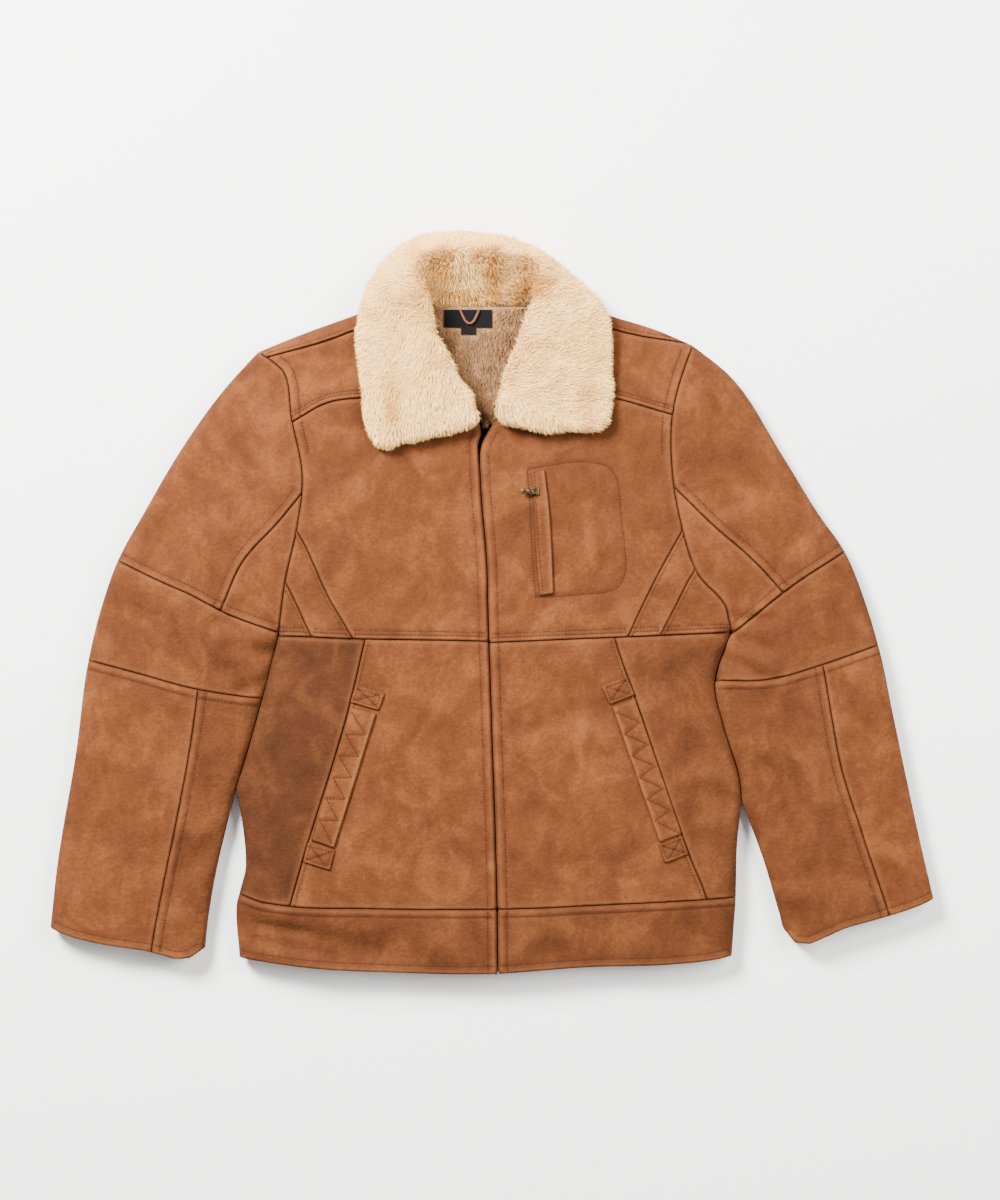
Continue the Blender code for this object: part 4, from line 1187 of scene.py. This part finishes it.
def tufts_tree():
    """Tufts of wool over a mesh: bent cones that lean along the mesh's comb, as dense as its cover says."""
    tree, given = new_tree(
        "wool_tufts",
        {
            "Density": "Float",
            "Length": "Float",
            "Width": "Float",
            "Lift": "Float",
            "Stray": "Float",
            "Seed": "Int",
            "Material": "Material",
        },
    )
    cover = add(tree, "GeometryNodeInputNamedAttribute", {"data_type": "FLOAT"}, {"Name": "cover"})
    comb = add(tree, "GeometryNodeInputNamedAttribute", {"data_type": "FLOAT_VECTOR"}, {"Name": "comb"})
    dense = maths(tree, "MULTIPLY", cover.outputs["Attribute"], given["Density"])
    roots = add(
        tree,
        "GeometryNodeDistributePointsOnFaces",
        {"distribute_method": "RANDOM"},
        {"Mesh": given["Geometry"], "Density": dense.outputs[0], "Seed": given["Seed"]},
    )
    radius = maths(tree, "MULTIPLY", given["Width"], 0.5)
    cone = add(
        tree,
        "GeometryNodeMeshCone",
        {"fill_type": "NONE"},
        {
            "Vertices": 3,
            "Side Segments": 2,
            "Radius Top": 0.0,
            "Radius Bottom": radius.outputs[0],
            "Depth": given["Length"],
        },
    )
    where = add(tree, "GeometryNodeInputPosition").outputs[0]
    height = add(tree, "ShaderNodeSeparateXYZ", None, {0: where}).outputs["Z"]
    along = maths(tree, "DIVIDE", height, given["Length"]).outputs[0]
    bend = maths(tree, "POWER", along, 2.0).outputs[0]
    reach = maths(tree, "MULTIPLY", bend, given["Length"]).outputs[0]
    aside = maths(tree, "MULTIPLY", reach, 0.5).outputs[0]
    offset = add(tree, "ShaderNodeCombineXYZ", None, {"X": aside})
    marked = add(
        tree,
        "GeometryNodeStoreNamedAttribute",
        {"data_type": "FLOAT", "domain": "POINT"},
        {"Geometry": cone.outputs["Mesh"], "Name": "along", "Value": along},
    )
    bent = add(
        tree, "GeometryNodeSetPosition", None, {"Geometry": marked.outputs[0], "Offset": offset.outputs[0]}
    )
    lifted = add(
        tree,
        "ShaderNodeVectorMath",
        {"operation": "SCALE"},
        {0: roots.outputs["Normal"], "Scale": given["Lift"]},
    )
    stray = add(
        tree,
        "FunctionNodeRandomValue",
        {"data_type": "FLOAT_VECTOR"},
        {0: (-1.0, -1.0, -1.0), 1: (1.0, 1.0, 1.0), "Seed": 5},
    )
    strayed = add(
        tree, "ShaderNodeVectorMath", {"operation": "SCALE"}, {0: stray.outputs[0], "Scale": given["Stray"]}
    )
    leaning = add(
        tree,
        "ShaderNodeVectorMath",
        {"operation": "ADD"},
        {0: lifted.outputs[0], 1: comb.outputs["Attribute"]},
    )
    pointing = add(
        tree, "ShaderNodeVectorMath", {"operation": "ADD"}, {0: leaning.outputs[0], 1: strayed.outputs[0]}
    )
    upright = add(
        tree, "FunctionNodeAlignRotationToVector", {"axis": "Z"}, {"Vector": pointing.outputs[0]}
    )
    combed = add(
        tree,
        "FunctionNodeAlignRotationToVector",
        {"axis": "X", "pivot_axis": "Z"},
        {"Rotation": upright.outputs[0], "Vector": comb.outputs["Attribute"]},
    )
    size = add(tree, "FunctionNodeRandomValue", {"data_type": "FLOAT"}, {2: 0.7, 3: 1.25, "Seed": 8})
    tufts = add(
        tree,
        "GeometryNodeInstanceOnPoints",
        None,
        {
            "Points": roots.outputs["Points"],
            "Instance": bent.outputs[0],
            "Rotation": combed.outputs[0],
            "Scale": size.outputs[1],
        },
    )
    shade_of = add(tree, "FunctionNodeRandomValue", {"data_type": "FLOAT"}, {2: 0.0, 3: 1.0, "Seed": 11})
    tinted = add(
        tree,
        "GeometryNodeStoreNamedAttribute",
        {"data_type": "FLOAT", "domain": "INSTANCE"},
        {"Geometry": tufts.outputs[0], "Name": "tint", "Value": shade_of.outputs[1]},
    )
    close_tree(tree, tinted.outputs[0], given["Material"])
    return tree


def grown(name, mesh, tree, inputs, drop=()):
    """What a Geometry Nodes tree makes of a mesh, as a plain mesh object."""
    holder = bpy.data.objects.new(f"{name}_source", mesh)
    bpy.context.scene.collection.objects.link(holder)
    modifier = holder.modifiers.new("grow", "NODES")
    modifier.node_group = tree
    sockets = {item.name: item.identifier for item in tree.interface.items_tree if item.in_out == "INPUT"}
    for key, value in inputs.items():
        modifier[sockets[key]] = value
    made = bpy.data.meshes.new_from_object(holder.evaluated_get(bpy.context.evaluated_depsgraph_get()))
    holder.modifiers.remove(modifier)
    bpy.data.objects.remove(holder)
    for key in drop:
        if key in made.attributes:
            made.attributes.remove(made.attributes[key])
    made.name = name
    obj = bpy.data.objects.new(name, made)
    bpy.context.scene.collection.objects.link(obj)
    return obj


def comb_mesh(mesh, comb, **values):
    """Gives a mesh its comb, and the values that the wool and its tufts read at its points."""
    mesh.attributes.new("comb", "FLOAT_VECTOR", "POINT").data.foreach_set(
        "vector", comb.ravel().astype(np.float32)
    )
    for key, each in values.items():
        mesh.attributes.new(key, "FLOAT", "POINT").data.foreach_set("value", each.astype(np.float32))


def lines_mesh(name, lines):
    """A mesh of edges alone, from lines of points in mm."""
    points, edges = [], []
    for line in lines:
        first = len(points)
        points += [tuple(p * MM) for p in line]
        edges += [(first + k, first + k + 1) for k in range(len(line) - 1)]
    mesh = bpy.data.meshes.new(name)
    mesh.from_pydata(points, edges, [])
    return mesh


# Operators
class BackOperator(bpy.types.Operator):
    """Make the pieces of the back, which lie on the surface"""

    bl_idname = "jacket.back"
    bl_label = "Back"

    def execute(self, context):
        for cut in CUTS:
            if cut.lies != "below":
                continue
            parts = [below_part(cut, OVER_PILE if cut.node.startswith("back_") else 22.0)]
            cuts = [cut]
            for other in CUTS:
                if other is not cut and other.node == cut.node:
                    parts.append(over_part(other))
                    cuts.append(other)
            obj = shell(f"{cut.node}_shearling", parts, [suede(), pile()])
            declare(obj, cut.node, cuts)
        return {"FINISHED"}


class FrontOperator(bpy.types.Operator):
    """Make the panels of the fronts and of the sleeves"""

    bl_idname = "jacket.front"
    bl_label = "Fronts and sleeves"

    def execute(self, context):
        for cut in CUTS:
            if cut.lies == "over" and not cut.node.startswith("back_"):
                obj = shell(f"{cut.node}_shearling", [over_part(cut)], [suede(), pile()])
                below = "sleeve_back_upper_right" if cut.base.startswith("sleeve") else "back_right"
                below = below.replace("right", cut.side)
                declare(obj, cut.node, [cut])
        return {"FINISHED"}


# Comb of the collar's wool. Columns: x, y, and the direction that the wool lies in
COMB = (
    (-120, 190, -0.3, -1.0),
    (-60, 180, 0.2, -1.0),
    (-130, 280, -1.0, -0.5),
    (-90, 240, -0.5, -0.9),
    (-110, 350, -0.8, 0.3),
    (-60, 385, -0.3, 0.8),
    (0, 390, 0.1, 0.9),
    (60, 370, 0.5, 0.8),
    (100, 330, 0.9, 0.3),
    (70, 300, 0.8, 0.3),
    (110, 250, 1.0, 0.2),
    (50, 240, 0.7, 0.6),
    (100, 190, 0.8, -0.5),
    (40, 190, 0.1, -1.0),
    (-20, 345, 0.2, -0.9),
    (20, 340, 0.9, -0.3),
    (-60, 345, -0.4, -0.6),
)

# The collar's tufts are made in bands, one piece each. Edges of the bands in x
WOOL_BANDS = (-999, -105, -70, -20, 40, 85, 999)

# The collar's pelt under its tufts: mesh size in m, mm that it is drawn in, how lit it is
PELT_VOXEL, PELT_SINK, PELT_SHADE = 0.0042, 4.0, 0.25
COLLAR_LIFT, COLLAR_STRAY = 0.75, 0.45

# Tufts inside the neck
NECK_WOOL = {
    "Density": 420000.0,
    "Length": 0.0042,
    "Width": 0.0018,
    "Lift": 0.6,
    "Stray": 0.7,
    "Seed": 54,
}

# Golden patches of the wool: partly yellowed wool, partly painted shade on the collar's inner face. Columns:
# x, y, half width across, half height, strength
YELLOWING_AND_SHADE = (
    (-106, 212, 10, 36, 0.8),
    (-105, 300, 14, 40, 0.25),
    (100, 212, 10, 30, 0.7),
    (108, 270, 9, 30, 0.45),
    (70, 200, 30, 10, 0.3),
    (-56, 350, 16, 22, 1.0),
    (-2, 356, 12, 24, 1.0),
    (44, 345, 26, 18, 1.2),
    (0, 330, 60, 12, 0.9),
    (-70, 200, 30, 9, 0.25),
)


def comb_and_gold(points):
    """The direction of the wool at plan points, and how golden it is: partly yellowed wool, partly painted
    shade.
    """
    rows = np.array(COMB, float)
    near = 1 / (((points[:, None, :2] - rows[:, :2]) ** 2).sum(axis=-1) + 300.0)
    flow = (near[..., None] * rows[:, 2:4]).sum(axis=1) / near.sum(axis=1)[:, None]
    flow += 0.35 * np.stack([soft_noise(points, 16.0, 21), soft_noise(points, 16.0, 22)], axis=1)
    gold = np.zeros(len(points))
    for x, y, half_x, half_y, strength in YELLOWING_AND_SHADE:
        spot = ((points[:, 0] - x) / half_x) ** 2 + ((points[:, 1] - y) / half_y) ** 2
        gold += strength * np.exp(-spot)
    gold *= 0.85 + 0.5 * soft_noise(points, 11.0, 23)
    return np.column_stack([flow, np.zeros(len(points))]), np.clip(gold, 0, 1)


class CollarOperator(bpy.types.Operator):
    """Make the collar's body and cover it with tufts of wool"""

    bl_idname = "jacket.collar"
    bl_label = "Fur collar"

    def execute(self, context):
        mesh = bmesh.new()
        mesh.from_mesh(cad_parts["collar"].data)
        bmesh.ops.remove_doubles(mesh, verts=mesh.verts, dist=MERGE)
        bmesh.ops.dissolve_limit(mesh, angle_limit=math.radians(1), verts=mesh.verts, edges=mesh.edges)
        bmesh.ops.triangulate(mesh, faces=mesh.faces)
        data = bpy.data.meshes.new("collar_body")
        mesh.to_mesh(data)
        mesh.free()
        body = bpy.data.objects.new("collar_body", data)
        context.scene.collection.objects.link(body)
        remesh = body.modifiers.new("even", "REMESH")
        remesh.mode = "VOXEL"
        remesh.voxel_size = PELT_VOXEL
        smooth = body.modifiers.new("smooth", "SMOOTH")
        smooth.iterations = 6
        smooth.factor = 0.5
        even = bpy.data.meshes.new_from_object(body.evaluated_get(context.evaluated_depsgraph_get()))
        bpy.data.objects.remove(body)
        count = len(even.vertices)
        places, normals = np.empty(count * 3), np.empty(count * 3)
        even.vertices.foreach_get("co", places)
        even.vertices.foreach_get("normal", normals)
        places, normals = places.reshape(-1, 3) / MM, normals.reshape(-1, 3)
        lumps = 1.6 * soft_noise(places, 19.0, 31) + 0.9 * soft_noise(places + places[:, 2:3], 8.0, 32)
        drawn = PELT_SINK - lumps
        places = places - normals * drawn[:, None]
        places[:, 2] = np.maximum(places[:, 2], 0.4)
        even.vertices.foreach_set("co", (places * MM).ravel().astype(np.float32))
        comb, gold = comb_and_gold(places)
        cover = np.clip((normals[:, 2] + 0.75) / 0.5, 0, 1)
        along = np.full(count, PELT_SHADE)
        comb_mesh(even, comb, gold=gold, cover=cover, along=along, tint=cover * 0)
        even.materials.clear()
        even.materials.append(collar_wool())
        even.shade_smooth()
        collar = bpy.data.objects.new("collar_pelt", even)
        context.scene.collection.objects.link(collar)
        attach(collar, BODY)
        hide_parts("collar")
        fur = settings().fur
        tree = tufts_tree()
        for number, (low, high) in enumerate(zip(WOOL_BANDS[:-1], WOOL_BANDS[1:])):
            part = even.copy()
            band = (places[:, 0] >= low) & (places[:, 0] < high)
            part.attributes["cover"].data.foreach_set("value", (cover * band).astype(np.float32))
            inputs = {
                "Density": fur.density,
                "Length": fur.length,
                "Width": fur.width,
                "Lift": COLLAR_LIFT,
                "Stray": COLLAR_STRAY,
                "Seed": 40 + number,
                "Material": collar_wool(),
            }
            tufts = grown(f"collar_wool_{number + 1}", part, tree, inputs, ("comb", "cover"))
            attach(tufts, BODY)
        return {"FINISHED"}


class PocketOperator(bpy.types.Operator):
    """Make the welts and tabs of the pockets"""

    bl_idname = "jacket.pockets"
    bl_label = "Pocket welts and tabs"

    def execute(self, context):
        for patch in PATCHES:
            part = (
                patch.plan,
                skin_points(patch, 3.6, (0.4, 0.9, 1.6), 5),
                skin_points(patch, 9.0, (), 6),
                lambda points, patch=patch: sewn_skin(patch, points),
                lambda points: skin(points) + PATCH_GAP,
                "top",
                np.zeros(len(patch.plan), bool),
                np.zeros_like(patch.plan),
            )
            obj = shell(f"{patch.node}_sheepskin", [part], [suede(), suede()])
            declare(obj, patch.node, [patch], 0.0)
        return {"FINISHED"}


class LiningOperator(bpy.types.Operator):
    """Cover the pile inside the neck with tufts of wool"""

    bl_idname = "jacket.lining"
    bl_label = "Wool inside the neck"

    def execute(self, context):
        grid = hex_grid(np.array(NECK_OPENING), 4.0, 51)
        grid = grid[is_inside(grid, np.array(NECK_OPENING, float))]
        points, faces, _ = filled(smooth_opening(), grid)
        height = back_top(points)[0] + 0.6 * soft_noise(points, 9.0, 52)
        places = np.column_stack([points, height - 0.4])
        mesh = bpy.data.meshes.new("neck_pile_base")
        mesh.from_pydata([tuple(p) for p in places * MM], [], faces)
        comb = np.zeros((len(points), 3))
        comb[:, 0] = 0.5 * soft_noise(points, 14.0, 53)
        comb[:, 1] = -0.8
        cover = np.ones(len(points))
        for node in ("neck_label", "size_tag"):
            (x, y, _), (wide, high, _) = box_of(node)
            cover *= (np.abs(points[:, 0] - x) > wide / 2 + 4.5) | (np.abs(points[:, 1] - y) > high / 2 + 3)
        blank = np.zeros(len(points))
        comb_mesh(mesh, comb, cover=cover, along=blank + 0.2, gold=blank, tint=blank)
        inputs = {**NECK_WOOL, "Material": lining_wool()}
        tufts = grown("neck_pile", mesh, tufts_tree(), inputs, ("comb", "cover"))
        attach(tufts, BODY)
        return {"FINISHED"}


def smooth_opening():
    """The outline of the open neck, with a point about every 4 mm."""
    return straight_run([*NECK_OPENING, NECK_OPENING[0]])[:-1]


def solid_box(mesh, place, size, bevel):
    """Adds a bevelled box to a mesh. Place and size are in mm."""
    made = bmesh.ops.create_cube(mesh, size=1.0)["verts"]
    bmesh.ops.scale(mesh, vec=Vector(size) * MM, verts=made)
    bmesh.ops.translate(mesh, vec=Vector(place) * MM, verts=made)
    edges = list({edge for vert in made for edge in vert.link_edges})
    bmesh.ops.bevel(mesh, geom=edges, offset=bevel * MM, segments=2, affect="EDGES", profile=0.5)


def boxes(name, rows, material):
    """A piece made of bevelled boxes. Columns of rows: x, y, z, length, width, height, bevel."""
    mesh = bmesh.new()
    for x, y, z, length, width, height, bevel in rows:
        solid_box(mesh, (x, y, z), (length, width, height), bevel)
    data = bpy.data.meshes.new(name)
    mesh.to_mesh(data)
    mesh.free()
    data.materials.append(material)
    data.shade_smooth()
    obj = bpy.data.objects.new(name, data)
    bpy.context.scene.collection.objects.link(obj)
    return obj


def box_of(node):
    """The middle and size in mm of a CAD piece."""
    corners = np.array([tuple(vert.co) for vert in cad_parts[node].data.vertices]) / MM
    low, high = corners.min(axis=0), corners.max(axis=0)
    return (low + high) / 2, high - low


class ZipOperator(bpy.types.Operator):
    """Make the front zip, and the slider and pull of the chest pocket's zip"""

    bl_idname = "jacket.zips"
    bl_label = "Zips"

    def execute(self, context):
        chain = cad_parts["front_zip_chain"].data
        places = np.array([tuple(vert.co) for vert in chain.vertices]) / MM
        rows = sorted({round(y, 2) for y in places[:, 1]})
        line = [(places[np.abs(places[:, 1] - y) < 0.6, 0].mean(), y) for y in rows]
        line = curve([line[0], *[p for k, p in enumerate(line[1:-1]) if k % 4 == 0], line[-1]], 2.0)
        for name, parted, apart, middle, tall in TEETH:
            row = line[(line[:, 1] > PARTED) == parted]
            lines = []
            for side in (-1, 1):
                shifted = row + [side * apart, 0.5 * side]
                lines.append(np.hstack([shifted, np.full((len(shifted), 1), middle)]))
            inputs = {
                "Pitch": 0.0021,
                "Length": 0.0015,
                "Width": 2.2 * apart * MM,
                "Height": tall,
                "Material": brass(),
            }
            teeth = grown(name, lines_mesh(f"{name}_lines", lines), beads_tree(), inputs)
            teeth.data.shade_smooth()
            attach(teeth, BODY)
            if name == "front_zip_teeth":
                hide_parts("front_zip_chain")

        (x, y, z), (across, along, high) = box_of("front_zip_slider")
        slider = boxes(
            "front_zip_slider_cast",
            (
                (x, y, z - 0.4, across * 0.92, along * 0.8, high * 0.66, 0.9),
                (x, y + along * 0.22, z - 0.2, across, along * 0.5, high * 0.55, 0.8),
                (x, y, z + high * 0.32, across * 0.34, along * 0.72, high * 0.34, 0.7),
            ),
            brass(),
        )
        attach(slider, BODY)
        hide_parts("front_zip_slider")

        (x, y, z), (long, wide, thick) = box_of("chest_zip_pull")
        pull = boxes(
            "chest_zip_pull_cast",
            (
                (x - long * 0.12, y, z, long * 0.76, wide, thick, 0.55),
                (x + long * 0.38, y, z, long * 0.24, wide * 0.46, thick, 0.4),
                (x - long * 0.12, y, z, long * 0.55, wide * 0.5, thick * 1.25, 0.3),
            ),
            brass(),
        )
        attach(pull, "pull_tab")
        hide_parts("chest_zip_pull")
        for node, finish in (
            ("front_zip_tape", woven("woven_polyester_tape", "2A1D12", 0.0006)),
            ("neck_label", woven("woven_satin_label", "0C0B0B", 0.0003)),
            ("size_tag", woven("woven_satin_tag", "0E0D0D", 0.0003)),
            ("hanger_loop", leather()),
            ("chest_zip_slider", brass()),
        ):
            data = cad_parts[node].data
            data.materials.clear()
            data.materials.append(finish)
        return {"FINISHED"}


class StitchOperator(bpy.types.Operator):
    """Sew the topstitching"""

    bl_idname = "jacket.stitches"
    bl_label = "Topstitching"

    def execute(self, context):
        lines = []
        for cut in [*CUTS, *PATCHES]:
            for line, _, _ in cut.rows:
                height, _ = sewn_skin(cut, line[:, :2])
                lines.append(np.column_stack([line[:, :2], height + 0.25]))
        values = settings().stitches
        inputs = {
            "Pitch": values.pitch,
            "Length": values.length,
            "Width": values.thickness,
            "Height": values.thickness * 0.8,
            "Material": thread(),
        }
        stitches = grown("topstitching", lines_mesh("topstitching_lines", lines), beads_tree(), inputs)
        stitches.data.shade_smooth()
        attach(stitches, BODY)
        return {"FINISHED"}


class StageOperator(bpy.types.Operator):
    """Set up the floor, the light and the camera"""

    bl_idname = "jacket.stage"
    bl_label = "Stage"

    def execute(self, context):
        values = settings().stage
        floor_finish, tree, shader = new_material("matt_paper", 0.9)
        if tree is not None:
            place = add(tree, "ShaderNodeTexCoord").outputs["Object"]
            noise = add(tree, "ShaderNodeTexNoise", None, {"Vector": place, "Scale": 1 / 0.004})
            grain = noise.outputs["Fac"]
            relief_by(tree, shader, grain, 0.05, 0.0002)
            shader.inputs["Base Color"].default_value = (*values.floor, 1)
        mesh = bmesh.new()
        bmesh.ops.create_grid(mesh, x_segments=1, y_segments=1, size=6.0)
        bmesh.ops.translate(mesh, vec=(0, 0, -0.0006), verts=mesh.verts)
        data = bpy.data.meshes.new("floor")
        mesh.to_mesh(data)
        mesh.free()
        data.materials.append(floor_finish)
        floor = bpy.data.objects.new("floor", data)
        context.scene.collection.objects.link(floor)

        world = bpy.data.worlds.new("studio")
        world.use_nodes = True
        background = world.node_tree.nodes["Background"]
        background.inputs["Color"].default_value = (1, 1, 1, 1)
        background.inputs["Strength"].default_value = values.fill
        context.scene.world = world
        for name, place, size, power in (
            ("key", (-1.5, 1.7, 1.9), 1.0, values.key),
            ("side", (1.6, 0.6, 1.8), 1.6, values.key * 0.25),
        ):
            light = bpy.data.lights.new(name, "AREA")
            light.energy = power
            light.size = size
            lamp = bpy.data.objects.new(name, light)
            lamp.location = place
            lamp.rotation_euler = (-Vector(place)).to_track_quat("-Z", "Y").to_euler()
            context.scene.collection.objects.link(lamp)

        lens = bpy.data.cameras.new("camera")
        lens.lens = CAMERA_LENS
        lens.sensor_width = 36.0
        camera = bpy.data.objects.new("camera", lens)
        camera.location = (*CAMERA_PLACE, CAMERA_HEIGHT)
        context.scene.collection.objects.link(camera)
        context.scene.camera = camera
        return {"FINISHED"}


OPERATORS = (
    BackOperator,
    FrontOperator,
    CollarOperator,
    PocketOperator,
    LiningOperator,
    ZipOperator,
    StitchOperator,
    StageOperator,
)


class JacketPanel(bpy.types.Panel):
    """The jacket's pieces, in the order that they are made"""

    bl_idname = "VIEW3D_PT_shearling_jacket"
    bl_label = "Shearling Jacket"
    bl_space_type = "VIEW_3D"
    bl_region_type = "UI"
    bl_category = "Jacket"

    def draw(self, context):
        for operator in OPERATORS:
            self.layout.operator(operator.bl_idname)
        for group in (settings().suede, settings().fur, settings().stitches, settings().stage):
            box = self.layout.box()
            for key in group.__annotations__:
                box.prop(group, key)


CLASSES = (
    SuedeSettings,
    FurSettings,
    StitchSettings,
    StageSettings,
    JacketSettings,
    *OPERATORS,
    JacketPanel,
)


def register():
    for each in CLASSES:
        bpy.utils.register_class(each)
    bpy.types.Scene.shearling_jacket = PointerProperty(type=JacketSettings)


def unregister():
    del bpy.types.Scene.shearling_jacket
    for each in reversed(CLASSES):
        bpy.utils.unregister_class(each)


def main():
    register()
    for operator in OPERATORS:
        group, name = operator.bl_idname.split(".")
        getattr(getattr(bpy.ops, group), name)()


if __name__ == "__main__":
    main()
